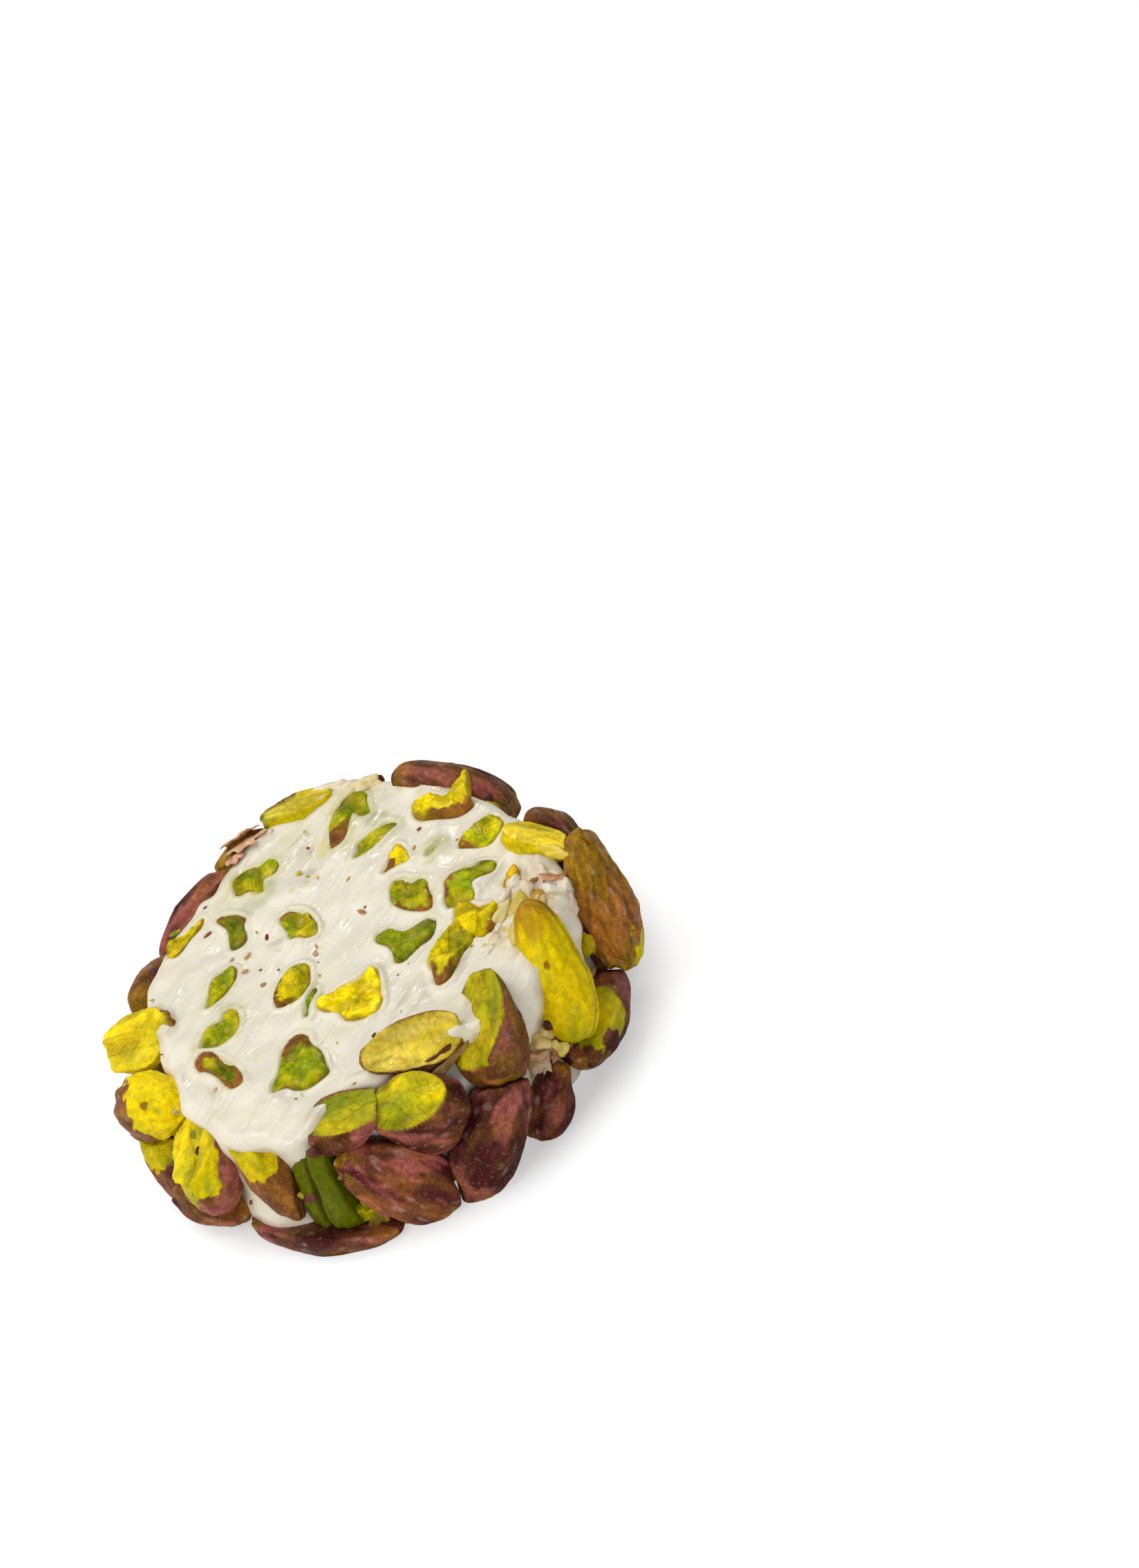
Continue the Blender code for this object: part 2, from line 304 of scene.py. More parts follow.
class NougatSettings(bpy.types.PropertyGroup):
    """Sizes and colours of the slice that a user may change."""

    edge_round: FloatProperty(
        name="Edge round", description="Rounding of the nougat's rim", subtype="DISTANCE", default=1.5 * MM)
    knife_marks: FloatProperty(
        name="Knife marks", description="Height of the knife's drag marks", subtype="DISTANCE",
        default=0.12 * MM)
    swell: FloatProperty(
        name="Swell", description="How far the nougat climbs its kernels", subtype="DISTANCE",
        default=0.55 * MM)
    wrinkles: FloatProperty(
        name="Wrinkles", description="Depth of the skins' wrinkles", subtype="DISTANCE", default=0.16 * MM)
    speck_count: IntProperty(
        name="Specks", description="How many loose specks lie in the face", subtype="UNSIGNED", default=90)
    crumb_count: IntProperty(
        name="Crumbs", description="How many crumbs sit between the kernels", subtype="UNSIGNED", default=70)
    nougat_colour: FloatVectorProperty(
        name="Nougat", description="Colour of the nougat", subtype="COLOR", default=linear(233, 226, 206))
    yellow: FloatVectorProperty(
        name="Ripe flesh", description="Colour of yellow flesh", subtype="COLOR", default=linear(240, 210, 0))
    green: FloatVectorProperty(
        name="Green flesh", description="Colour of green flesh", subtype="COLOR", default=linear(134, 150, 0))
    olive: FloatVectorProperty(
        name="Olive skin", description="Colour of thin skin over flesh", subtype="COLOR",
        default=linear(146, 108, 16))
    pale: FloatVectorProperty(
        name="Pale flesh", description="Colour inside a kernel", subtype="COLOR",
        default=linear(240, 216, 104))
    purple: FloatVectorProperty(
        name="Dark skin", description="Colour of dark skin", subtype="COLOR", default=linear(76, 25, 29))
    pink: FloatVectorProperty(
        name="Pink skin", description="Colour of scuffed skin", subtype="COLOR", default=linear(180, 98, 90))
    tan: FloatVectorProperty(
        name="Tan skin", description="Colour of tan skin", subtype="COLOR", default=linear(176, 116, 42))


def settings():
    """The sizes and colours that the panel shows."""
    return bpy.context.scene.nougat_settings


def millimetres(name):
    """One of the panel's sizes, in millimetres."""
    return getattr(settings(), name) / MM


def colour(name):
    """One of the panel's colours, as linear numbers."""
    return np.array(getattr(settings(), name))


# ---------------------------------------------------------------- what the frame says


class Body:
    """A kernel's solid from the frame: its facets as planes, and the convex shape that they bound."""

    FLAT_AREA = 5.0
    SOFTNESS = 26
    EDGE_SHARPNESS = 46

    def __init__(self, node):
        mesh = node.data
        points = np.empty(len(mesh.vertices) * 3)
        mesh.vertices.foreach_get("co", points)
        points = points.reshape(-1, 3) / MM
        mesh.calc_loop_triangles()
        corners = np.empty(len(mesh.loop_triangles) * 3, np.int32)
        mesh.loop_triangles.foreach_get("vertices", corners)
        a, b, c = points[corners.reshape(-1, 3)].transpose(1, 0, 2)
        normal = np.cross(b - a, c - a)
        area = np.linalg.norm(normal, axis=1) / 2.0
        keep = area > 1e-4
        self.area = area[keep]
        self.normal = unit(normal[keep])
        self.centre = ((a + b + c) / 3.0)[keep]
        self.reach = (self.normal * self.centre).sum(axis=1)
        self.middle = (self.centre * self.area[:, None]).sum(axis=0) / self.area.sum()
        self.low, self.high = points.min(axis=0), points.max(axis=0)
        same = (self.normal @ self.normal.T > 0.9993) & (np.abs(self.reach[:, None] - self.reach) < 0.05)
        self.flat = same @ self.area > self.FLAT_AREA
        self.same = same
        spread = (self.centre - self.middle) * np.sqrt(self.area)[:, None]
        _, axes = np.linalg.eigh(spread.T @ spread)
        self.axes = axes[:, ::-1].T
        along = (points - self.middle) @ self.axes.T
        self.half = (along.max(axis=0) - along.min(axis=0)) / 2.0

    def level(self, points):
        """How far points lie outside the solid; below zero inside it."""
        return (points @ self.normal.T - self.reach).max(axis=1)

    def near(self, points, margin):
        return ((points > self.low - margin) & (points < self.high + margin)).all(axis=1)

    def find_cuts(self, others):
        """Mark the flats that a knife made: those with no other kernel pressed against them."""
        self.knife = np.zeros(len(self.area), bool)
        for index in np.flatnonzero(self.flat):
            group = self.same[index]
            centre = (self.centre[group] * self.area[group, None]).sum(axis=0) / self.area[group].sum()
            probe = (centre + self.normal[index] * 0.6)[None]
            self.knife[index] = all(other.level(probe)[0] > 0.35 for other in others if other is not self)

    def rays(self, directions):
        """Distance from the middle to the surface along each direction, and the knife cuts' share there.

        The rounded part is one over the weighted power mean of the facets' plane terms, which turns the
        facets into one smooth egg; the flats then cut it with a narrow round at their edges.
        """
        size = self.half[1]
        height = (self.reach - self.normal @ self.middle) / size
        terms = np.maximum(directions @ self.normal.T / height, 1e-6)
        round_part = ~self.flat
        offset = self.centre - self.middle
        weight = self.area * (self.normal * offset).sum(axis=1) / np.linalg.norm(offset, axis=1) ** 3
        power = self.SOFTNESS
        total = (power + 1) / (2 * math.pi) * (terms[:, round_part] ** power @ weight[round_part])
        egg = np.maximum(total, 1e-30) ** (1.0 / power)
        exact = terms[:, round_part].max(axis=1)
        egg = np.clip(egg, exact * 0.93, exact * 1.04)
        sharp = self.EDGE_SHARPNESS
        egg_part = egg**sharp
        flat_part = np.zeros(len(directions))
        knife_part = np.zeros(len(directions))
        seen = np.zeros(len(self.area), bool)
        for index in np.flatnonzero(self.flat):
            if seen[index]:
                continue
            seen |= self.same[index]
            part = terms[:, index] ** sharp
            flat_part += part
            if self.knife[index]:
                knife_part += part
        total = egg_part + flat_part
        return size * total ** (-1.0 / sharp), knife_part / total


def kernel_names():
    """The names of the frame's kernels."""
    return sorted(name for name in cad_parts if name.startswith("kernel_"))


def read_bodies():
    """Every kernel's solid by name, each told of its neighbours."""
    bodies = {name: Body(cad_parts[name]) for name in kernel_names()}
    for body in bodies.values():
        body.find_cuts(bodies.values())
    return bodies


def fit_outline(waves=6, rounds=8, slack=0.25):
    """The nougat's outline as a wave sum in the angle, fitted to the wall's points outside the pockets."""
    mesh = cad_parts["nougat"].data
    points = np.empty(len(mesh.vertices) * 3)
    mesh.vertices.foreach_get("co", points)
    points = points.reshape(-1, 3) / MM
    wall = points[(points[:, 2] > 0.79) & (points[:, 2] < FACE_HEIGHT - 0.79)]
    angle = np.arctan2(wall[:, 1], wall[:, 0])
    radius = np.hypot(wall[:, 0], wall[:, 1])
    keep = np.ones(len(angle), bool)
    for _ in range(rounds):
        steady = 1e-2 * np.eye(2 * waves + 1)
        table = outline_table(angle[keep], waves)
        shape = np.linalg.solve(table.T @ table + steady, table.T @ radius[keep])
        keep = radius > outline_table(angle, waves) @ shape - slack
    return shape


def outline_table(angle, waves):
    """Columns 1, cos(a), sin(a), cos(2a), sin(2a) and so on, for the wave sum."""
    columns = [np.ones_like(angle)]
    for wave in range(1, waves + 1):
        columns += [np.cos(wave * angle), np.sin(wave * angle)]
    return np.stack(columns, axis=-1)


BODIES = read_bodies()
OUTLINE = fit_outline()


def outline_radius(angle):
    """How far the nougat's rim lies from the log's axis at each angle: the fitted wave sum."""
    return outline_table(angle, (len(OUTLINE) - 1) // 2) @ OUTLINE


# ---------------------------------------------------------------- chips in the cut face

# A chip is a piece of chopped kernel in the cut face. Its corners are in millimetres from the log's
# axis; hue runs from 0, yellow, to 1, green; shade darkens it; skin is the side where a skin clings
# (turn, half-width in degrees, thickness in mm); rise is how far it stands out of the face; haze is how
# far the nougat is smeared with it.
Chip = namedtuple("Chip", "corners hue shade skin rise haze")

FACE_CHIPS = (
    Chip(((8.8, 26.8), (10, 27.8), (11.5, 28), (12.5, 26.8), (12, 24.8), (11.9, 22.8), (10.6, 22.7),
          (9.9, 24.2),
          (8.9, 22.6), (8.2, 21.2), (7, 20.2), (5.6, 20.4), (5.9, 22), (6.5, 24), (7.5, 25.4)),
         0.85, 0.85, (235, 42, 3.6), 0.1, 1.3),
    Chip(((7.3, 16.3), (8, 17.5), (8.5, 18.6), (10.5, 18.9), (12, 19.3), (13, 19.6), (14.1, 18.4),
          (12.8, 17.6),
          (11, 16.7), (9, 16.1)), 0.85, 0.92, None, 0.1, 0.8),
    Chip(((9.4, 11), (10.5, 12.1), (11.3, 13.4), (12.6, 14.6), (13.1, 14), (13.2, 12.3), (12.9, 10.9),
          (11.4, 11.1)),
         0.0, 1.0, (200, 40, 1.6), 0.15, 0.5),
    Chip(((14.9, 9.8), (15.6, 10.9), (16.8, 11.3), (17.6, 11.6), (17.3, 10.8), (16.4, 10.2), (15.6, 9.6)),
         0.8, 1.1, None, -0.1, 1.0),
    Chip(((18.9, 8.5), (19.7, 9.6), (20.8, 10.4), (22, 11), (23.4, 11.3), (24.6, 10.6), (25, 9.3), (24.9, 8),
          (24, 7), (22.3, 6.5), (20.9, 7.1), (19.7, 7.8)), 0.65, 1.20, (195, 30, 0.5), 0.35, 0.3),
    Chip(((14.3, -0.8), (14.2, 0.6), (14.8, 2), (15.4, 3.6), (17, 4.4), (19, 4.4), (20.7, 4.2), (21.7, 3),
          (21, 1.9), (19.2, 1.7), (18, 1.2), (17.8, -0.5), (17.1, -1.7), (15.8, -1.7)),
         0.8, 1.0, (145, 55, 0.6), 0.35, 0.3),
    Chip(((9.4, 7.6), (10.2, 8.6), (11.5, 8.3), (12.2, 7.5), (13, 7), (13.5, 5.8), (13.2, 4), (13.2, 2.2),
          (12.5, 0.7), (11.3, 1), (10.2, 2.1), (9.2, 3.6),
          (8.7, 5.3)), 0.78, 0.92, (270, 95, 0.45), 0.3, 0.4),
    Chip(((4.9, 0.6), (5.6, 1.3), (7, 1.2), (7.5, 0), (8.6, -0.8), (10.3, -0.5), (11.6, -0.5), (12.2, -1.5),
          (11, -3.4), (8.9, -4.4), (6.8, -5.4), (5.7, -4.9), (5.9, -3.3), (5.8, -1.6), (5, -0.4)),
         0.95, 0.80, None, 0.25, 0.3),
    Chip(((9.9, -6.7), (11.2, -5.6), (12.7, -4.2), (14.2, -3.9), (14.4, -6), (15, -7.6), (13, -9),
          (11.6, -10.4),
          (10, -11.8), (8.6, -11.6), (9.1, -9.4), (9, -7.9)), 0.5, 1.0, (235, 38, 0.9), 0.7, 0.3),
    Chip(((15, -1.4), (16.4, -1.9), (17.3, -3), (19.3, -4.3), (18.6, -5.8), (17.9, -7.3), (16.6, -8),
          (15, -7.3), (14.4, -5.5), (14.1, -3.5)), 0.15, 0.95, (300, 25, 0.5), 0.8, 0.4),
    Chip(((21.3, -2.5), (21.2, -1.5), (22.2, -0.2), (23.6, 0.5), (23.4, -0.8), (22.6, -2.6)),
         -0.25, 1.0, None, 0.2, 0.6),
    Chip(((-7.3, 22.3), (-6.7, 23.7), (-4.6, 24.3), (-3, 23.7), (-1.4, 23.5), (-1, 22.3), (-1.8, 20.9),
          (-3.3, 20.8), (-3.9, 18.8), (-4.7, 18.9), (-5.6, 20.4), (-7.2, 20.7)), 0.7, 0.92, None, 0.1, 1.2),
    Chip(((-10.8, 18.1), (-9.6, 18.3), (-8.2, 17.3), (-7.5, 15.9), (-8, 15.1), (-8.3, 13.8), (-8.6, 12.5),
          (-9.8, 11.9), (-10.7, 12.1), (-10.5, 13.4), (-10.1, 14.8), (-10.2, 16.4)),
         1.0, 0.55, (65, 60, 0.55), 0.1, 0.5),
    Chip(((-3.9, 12.6), (-2.6, 12.9), (-1.5, 12.4), (-0.6, 11.2), (-0.3, 9.3), (-0.4, 7.9), (-1, 6.9),
          (-2.2, 6.9), (-3, 7.6), (-4, 8), (-3.9, 9.4), (-4.1, 11.1)), 0.8, 1.0, (60, 80, 0.3), 0.25, 0.5),
    Chip(((-11.3, 8.6), (-12.5, 9), (-14, 8.5), (-14.9, 7.2), (-15.7, 5.6), (-16.6, 4.1), (-16.1, 3.6),
          (-14.9, 4.3), (-13, 5.5), (-11.7, 6.9)), 0.82, 0.92, (110, 25, 0.3), 0.15, 0.5),
    Chip(((-4.1, 3.2), (-5.5, 3.4), (-6.6, 2.5), (-8, 1.3), (-8.8, -0.3), (-8.9, -1.7), (-7.4, -2.4),
          (-5.6, -2.2), (-4.4, -1), (-3.7, 1), (-3.5, 2.4)), 0.4, 0.95, (190, 75, 0.45), 0.45, 0.3),
    Chip(((-4.2, -1.9), (-3.9, -2.4), (-5.2, -4.4), (-6.1, -6.3), (-6.7, -6), (-6.2, -4.4), (-5.2, -2.9)),
         1.0, 0.7, None, 0.05, 0.4),
    Chip(((3.2, -3.9), (1, -4.4), (-1.5, -4.4), (-3.5, -4.6), (-4.7, -5.4), (-4.3, -6.6), (-2.9, -8.2),
          (-2.5, -9.8), (-1.2, -10.7), (1, -11.2), (2.3, -10.2), (2.7, -8.6), (3.2, -6.2)),
         0.10, 1.20, None, 0.45, 0.3),
    Chip(((-13.5, 1.5), (-14.6, 1.7), (-15.4, 0.9), (-17.2, 0.4), (-18.6, -0.8), (-19.1, -2.1), (-17.8, -3.1),
          (-15.8, -3.2), (-14.4, -2.4), (-13.4, -0.5)), 0.75, 0.88, (100, 50, 0.35), 0.15, 0.9),
    Chip(((-20.3, -3.7), (-19.4, -3.1), (-18.1, -3.9), (-17.2, -5.6), (-16.3, -8), (-16.1, -10),
          (-16.4, -11.3),
          (-17.6, -11.4), (-18.2, -10.2), (-18.6, -8.1), (-19.5, -6.2), (-20.4, -5)),
         0.85, 0.75, (0, 180, 1.1), 0.3, 0.4),
    Chip(((-9.2, -8.4), (-8, -8.3), (-7.2, -9.2), (-7.3, -10.9), (-6.7, -12.7), (-6.9, -15), (-7.1, -16.7),
          (-9.5, -17.1), (-11.3, -16.3), (-12.1, -15.4), (-13.8, -15.5), (-13.4, -14), (-12.2, -12.9),
          (-11.4, -11.3), (-10.7, -9.6)), 0.90, 0.92, (75, 48, 1.3), 0.3, 0.3),
    Chip(((16.2, 18.6), (17, 19.4), (18.4, 19.5), (19.4, 18.9), (20.5, 18.2), (22, 18.1), (23.2, 19),
          (24.3, 20.7),
          (24.5, 20), (23.9, 18.2), (23.2, 16.5), (23, 14.7), (21.3, 14.2), (19.4, 14.9), (17.6, 15.9),
          (16.5, 17.2)), 0.2, 0.95, (260, 60, 0.9), 0.9, 0.3),
    Chip(((18.4, 24.7), (20.7, 24.8), (20.9, 23.4), (21.1, 21.4), (20.2, 21.9), (19.2, 23.2)),
         0.15, 0.8, None, 0.5, 0.3),
    Chip(((-17.6, 16), (-17.9, 17.5), (-17, 18.7), (-15, 18.7), (-13.2, 19.3), (-12, 19.9), (-12.6, 18.8),
          (-14.5, 17.6), (-16.2, 16.2)), 0.2, 0.85, None, 0.1, 0.3),
)

BACK_CHIP_COUNT = 30
CHIP_POINTS = 96
CHIP_DEPTH = 1.6


def back_chips():
    """Chips for the back face: seeded outlines, kept clear of each other and of the rim."""
    chance = np.random.default_rng(5)
    placed, chips = [], []
    while len(chips) < BACK_CHIP_COUNT:
        turn, reach = chance.uniform(0, 2 * math.pi), 22.5 * math.sqrt(chance.uniform(0, 1))
        size = chance.uniform(2.0, 4.2)
        middle = np.array([math.cos(turn), math.sin(turn)]) * reach + (1.5, 2.0)
        looks = (chance.uniform(-0.1, 1.0), chance.uniform(0.8, 1.05), chance.uniform(0, 360))
        stretch, spin = chance.uniform(0.5, 0.95), chance.uniform(0, math.pi)
        bumps = 1.0 + 0.18 * chance.normal(size=9)
        if any(np.hypot(*(middle - other)) < size + gap + 1.0 for other, gap in placed):
            continue
        placed.append((middle, size))
        angle = np.linspace(0, 2 * math.pi, 9, endpoint=False)
        ring = np.stack([np.cos(angle), stretch * np.sin(angle)], axis=1) * (size * bumps)[:, None]
        rotation = np.array([[math.cos(spin), math.sin(spin)], [-math.sin(spin), math.cos(spin)]])
        chips.append(Chip(ring @ rotation + middle, looks[0], looks[1], (looks[2], 60, 0.5), 0.0, 0.4))
    return chips


def chip_outline(chip):
    """A chip's outline in the frame: a smooth curve through its corners."""
    return smooth_loop(chip.corners, CHIP_POINTS) + LOG_AXIS[:2]


def flesh_paint(points, hue, shade, seed):
    """Colour of bare flesh: yellow to green by hue, drifting over a few millimetres, with pale streaks."""
    drift = hue + 0.22 * ripple(points, 3.2, seed) + 0.12 * ripple(points, 1.1, seed + 1)
    paint = blend(colour("yellow"), colour("green"), np.clip(drift, 0.0, 1.0))
    paint = blend(paint, colour("pale"), 0.22 * ease(ripple(points, 1.9, seed + 2), 0.35, 1.1))
    if hue < 0.0:
        paint = blend(paint, linear(222, 150, 14), -2.0 * hue)
    return paint * (1.08 * shade * (1.0 + 0.1 * ripple(points, 1.3, seed + 3)))[..., None]


def skin_paint(points, warmth, seed):
    """Colour of skin: dark purple with pink scuffs along its grain, warming to tan and then olive."""
    grain = points * (0.4, 1.0, 1.0)
    cloud = ripple(grain, 4.0, seed) + 0.4 * ripple(grain, 1.2, seed + 4)
    paint = blend(colour("purple"), colour("pink"), 0.85 * ease(cloud, -0.3, 1.1))
    warm = warmth + 0.22 * ripple(grain, 2.4, seed + 1)
    ripe = blend(colour("tan"), colour("olive"), ease(ripple(grain, 5.0, seed + 5) + warmth, 0.2, 1.0))
    paint = blend(paint, ripe, np.clip(warm, 0.0, 1.0))
    return paint * (1.0 + 0.14 * ripple(grain, 0.9, seed + 2))[..., None]


def build_chip(chip, seed, underside=False):
    """A chip: its outline shrinks towards a hub over rings, up over a low crown and down under the face.

    Ring by ring, the share of the outline's reach and the height come from two listed rows: the height holds
    over the crown, rounds off at the shoulder and then drops under the face.
    """
    outline = chip_outline(chip)
    hub = outline.mean(axis=0)
    reach = np.concatenate([np.linspace(0.08, 0.92, 16), [0.96, 0.985, 1.0, 0.99, 0.9, 0.6]])
    lift = np.concatenate([np.ones(15), [0.96, 0.85, 0.62, 0.3, -0.4, -1.0, -1.0]])
    flat = hub + reach[:, None, None] * (outline - hub)
    side = -1.0 if underside else 1.0
    level = 0.0 if underside else FACE_HEIGHT
    crown = max(chip.rise, 0.02)
    height = np.where(lift > 0, crown * lift, CHIP_DEPTH * lift) + min(chip.rise, 0.0)
    rings = np.empty((*flat.shape[:2], 3))
    rings[..., :2] = flat
    rings[..., 2] = level + side * height[:, None]
    flat_points = rings.reshape(-1, 3)
    rough = 0.42 * chipped(flat_points, 3.6, seed) + 0.08 * ripple(flat_points, 1.0, seed + 7)
    crack = -0.25 * ease(1.0 - 9.0 * np.abs(ripple(flat_points, 4.0, seed + 9, 6)), 0.0, 1.0)
    top = np.repeat(ease(lift, 0.2, 0.9), CHIP_POINTS)
    scale = 0.0 if underside else min(1.0, 0.45 + chip.rise)
    rings[..., 2] += (side * top * (rough + crack) * scale).reshape(rings.shape[:2])
    points = rings.reshape(-1, 3)
    start = np.array([*hub, rings[0, :, 2].mean()])
    end = np.array([*hub, level - side * CHIP_DEPTH])
    every = np.concatenate([start[None], points, end[None]])

    paint = flesh_paint(every, chip.hue, chip.shade, seed + 20)
    spoke = np.arctan2(every[:, 1] - hub[1], every[:, 0] - hub[0])
    span = np.concatenate([[0.0], np.repeat(reach, CHIP_POINTS), [0.0]])
    edge = (1.0 - span) * np.linalg.norm(outline - hub, axis=1).mean()
    rim = 1.0 - ease(edge + 0.15 * ripple(every, 0.9, seed + 31), 0.05, 0.42)
    paint = blend(paint, linear(134, 96, 40), 0.6 * rim * ease(ripple(every, 3.0, seed + 35), -0.7, 0.3))
    # Painted light and shade: the flesh is painted brighter where the broken top stands up and darker in its
    # hollows.
    depth = np.concatenate([[0.0], rough * top, [0.0]])
    paint = paint * (1.0 + 1.1 * np.clip(depth, -0.3, 0.3))[:, None]
    if chip.skin is not None:
        turn, half_width, thickness = chip.skin
        away = np.abs((np.degrees(spoke) - turn + 180.0) % 360.0 - 180.0)
        cover = (1.0 - ease(away, half_width * 0.75, half_width * 1.1 + 1.0))
        ragged_edge = edge + 0.25 * ripple(every, 1.0, seed + 33)
        cover *= 1.0 - ease(ragged_edge, thickness * 0.7, thickness * 1.15 + 0.1)
        paint = blend(paint, skin_paint(every, 0.75, seed + 40), cover)
    return Shell(start, rings, end, paint=paint)


# ---------------------------------------------------------------- the nougat

NOUGAT_SEGMENTS = 520
FACE_RINGS = 92
WALL_RINGS = 46
BACK_RINGS = 34

# Where the nougat bulges out between kernels: angle, height, reach and width, in degrees and millimetres.
LOBES = (
    (226.0, 2.6, 3.4, 3.6),
    (222.0, 15.5, 0.8, 3.0),
    (229.0, 10.5, -2.0, 3.8),
    (240.0, 15.5, 1.8, 2.6),
    (237.5, 12.0, 2.6, 2.2),
    (241.0, 8.0, -2.4, 3.6),
    (254.0, 15.0, -4.6, 4.4),
    (262.0, 8.0, -1.5, 4.5),
    (268.0, 15.0, -2.5, 4.0),
    (279.0, 15.0, -5.0, 5.2),
    (285.0, 8.0, -1.5, 4.5),
    (309.0, 13.0, 1.0, 3.0),
    (337.0, 13.0, 1.4, 3.0),
    (68.0, 14.0, 2.4, 6.0),
    (82.0, 15.0, -2.0, 3.0),
    (150.0, 12.0, 0.8, 4.0),
)

# Where the knife tore the face: middle from the log's axis, size and strength, in millimetres.
TEARS = (
    (24.0, -5.5, 4.5, 0.45),
    (19.0, -9.5, 3.0, 0.30),
    (6.5, -12.5, 2.6, 0.22),
    (27.0, 1.0, 3.0, 0.25),
    (12.0, 29.0, 4.0, 0.30),
)

# Stains: middle from the log's axis, size, colour and strength.
STAINS = (
    (9.5, 29.0, 2.0, (226, 200, 110), 0.55),
    (13.8, 29.4, 2.0, (222, 182, 60), 0.75),
    (1.5, 26.0, 3.0, (222, 214, 160), 0.35),
    (4.8, 21.5, 1.8, (220, 204, 110), 0.60),
    (2.1, 18.5, 1.7, (180, 184, 156), 0.65),
    (-5.8, 17.2, 2.3, (184, 190, 152), 0.75),
    (-3.0, 19.0, 2.0, (176, 184, 130), 0.70),
    (-5.6, 9.0, 1.4, (190, 184, 166), 0.70),
    (11.4, 21.8, 2.0, (180, 176, 150), 0.75),
    (14.0, 25.0, 2.0, (206, 190, 168), 0.35),
    (15.2, 8.6, 1.1, (180, 190, 140), 0.50),
    (17.0, 12.3, 1.5, (200, 208, 170), 0.45),
    (24.7, -3.8, 1.5, (170, 110, 40), 0.55),
    (26.3, -4.8, 1.2, (120, 66, 36), 0.70),
    (21.0, -6.0, 2.6, (204, 172, 50), 0.80),
    (24.0, -8.0, 2.4, (176, 132, 40), 0.80),
    (18.5, -10.5, 2.2, (206, 180, 120), 0.65),
    (25.6, -1.5, 2.2, (208, 186, 160), 0.55),
    (-13.8, -7.7, 0.9, (214, 206, 150), 0.50),
    (-9.2, 9.2, 0.9, (226, 208, 160), 0.45),
    (-1.1, 15.8, 0.5, (206, 198, 60), 0.60),
    (0.9, 16.2, 0.5, (222, 200, 80), 0.55),
    (2.3, 16.4, 0.6, (222, 176, 120), 0.55),
)

KNIFE_HEADING = 38.0


def kernel_levels(points, margin=3.0):
    """Distance from each point to the nearest kernel, at most the margin."""
    nearest = np.full(len(points), margin)
    for body in BODIES.values():
        near = body.near(points, margin)
        if near.any():
            nearest[near] = np.minimum(nearest[near], body.level(points[near]))
    return nearest


def face_relief(flat, side):
    """Height of a cut face over its flat: slow swells, drag marks along the knife's way, and tears."""
    points = np.concatenate([flat, np.zeros((len(flat), 1))], axis=1)
    height = 0.30 * ripple(points, 12.0, 3) + 0.17 * ripple(points, 4.8, 4)
    way = heading(KNIFE_HEADING, 0)[:2]
    across = flat @ np.array([-way[1], way[0]])
    along = flat @ way
    drag = np.stack([across, along * 0.05, 0 * along], axis=1)
    marks = ease(ripple(drag, 1.1, 8, 30), 0.35, 1.1) - 0.6 * ease(-ripple(drag, 1.6, 9, 30), 0.5, 1.2)
    patch = ease(ripple(points, 10.0, 10), -0.35, 0.6)
    height += millimetres("knife_marks") * marks * patch
    for x, y, size, strength in TEARS:
        gap = np.hypot(flat[:, 0] - LOG_AXIS[0] - x, flat[:, 1] - LOG_AXIS[1] - y)
        here = np.exp(-((gap / size) ** 2)) * strength
        height += here * (0.8 * ripple(points, 3.2, 12, 40) + 0.5 * chipped(points, 3.0, 13))
    return height if side > 0 else 0.25 * np.minimum(height, 0.0)


def nougat_profile():
    """Rings from the back's middle out, up the wall and in over the face: (share of reach, inset, height)."""
    edge = millimetres("edge_round")
    out = np.linspace(0.0, 1.0, BACK_RINGS + 1)[1:]
    back = np.stack([out, np.full_like(out, 0.5), np.zeros_like(out)], axis=1)
    rise = np.linspace(0.0, 1.0, WALL_RINGS)
    height = rise * FACE_HEIGHT
    low = np.clip(1.0 - height / 0.5, 0.0, 1.0)
    high = np.clip(1.0 - (FACE_HEIGHT - height) / edge, 0.0, 1.0)
    inset = 0.5 * (1.0 - np.sqrt(1.0 - low**2)) + edge * (1.0 - np.sqrt(np.maximum(1.0 - high**2, 0.0)))
    wall = np.stack([np.ones_like(rise), inset, height], axis=1)[1:-1]
    come_in = np.linspace(1.0, 0.0, FACE_RINGS + 1)[:-1]
    face = np.stack([come_in, np.full_like(come_in, edge), np.full_like(come_in, FACE_HEIGHT)], axis=1)
    return back, wall, face


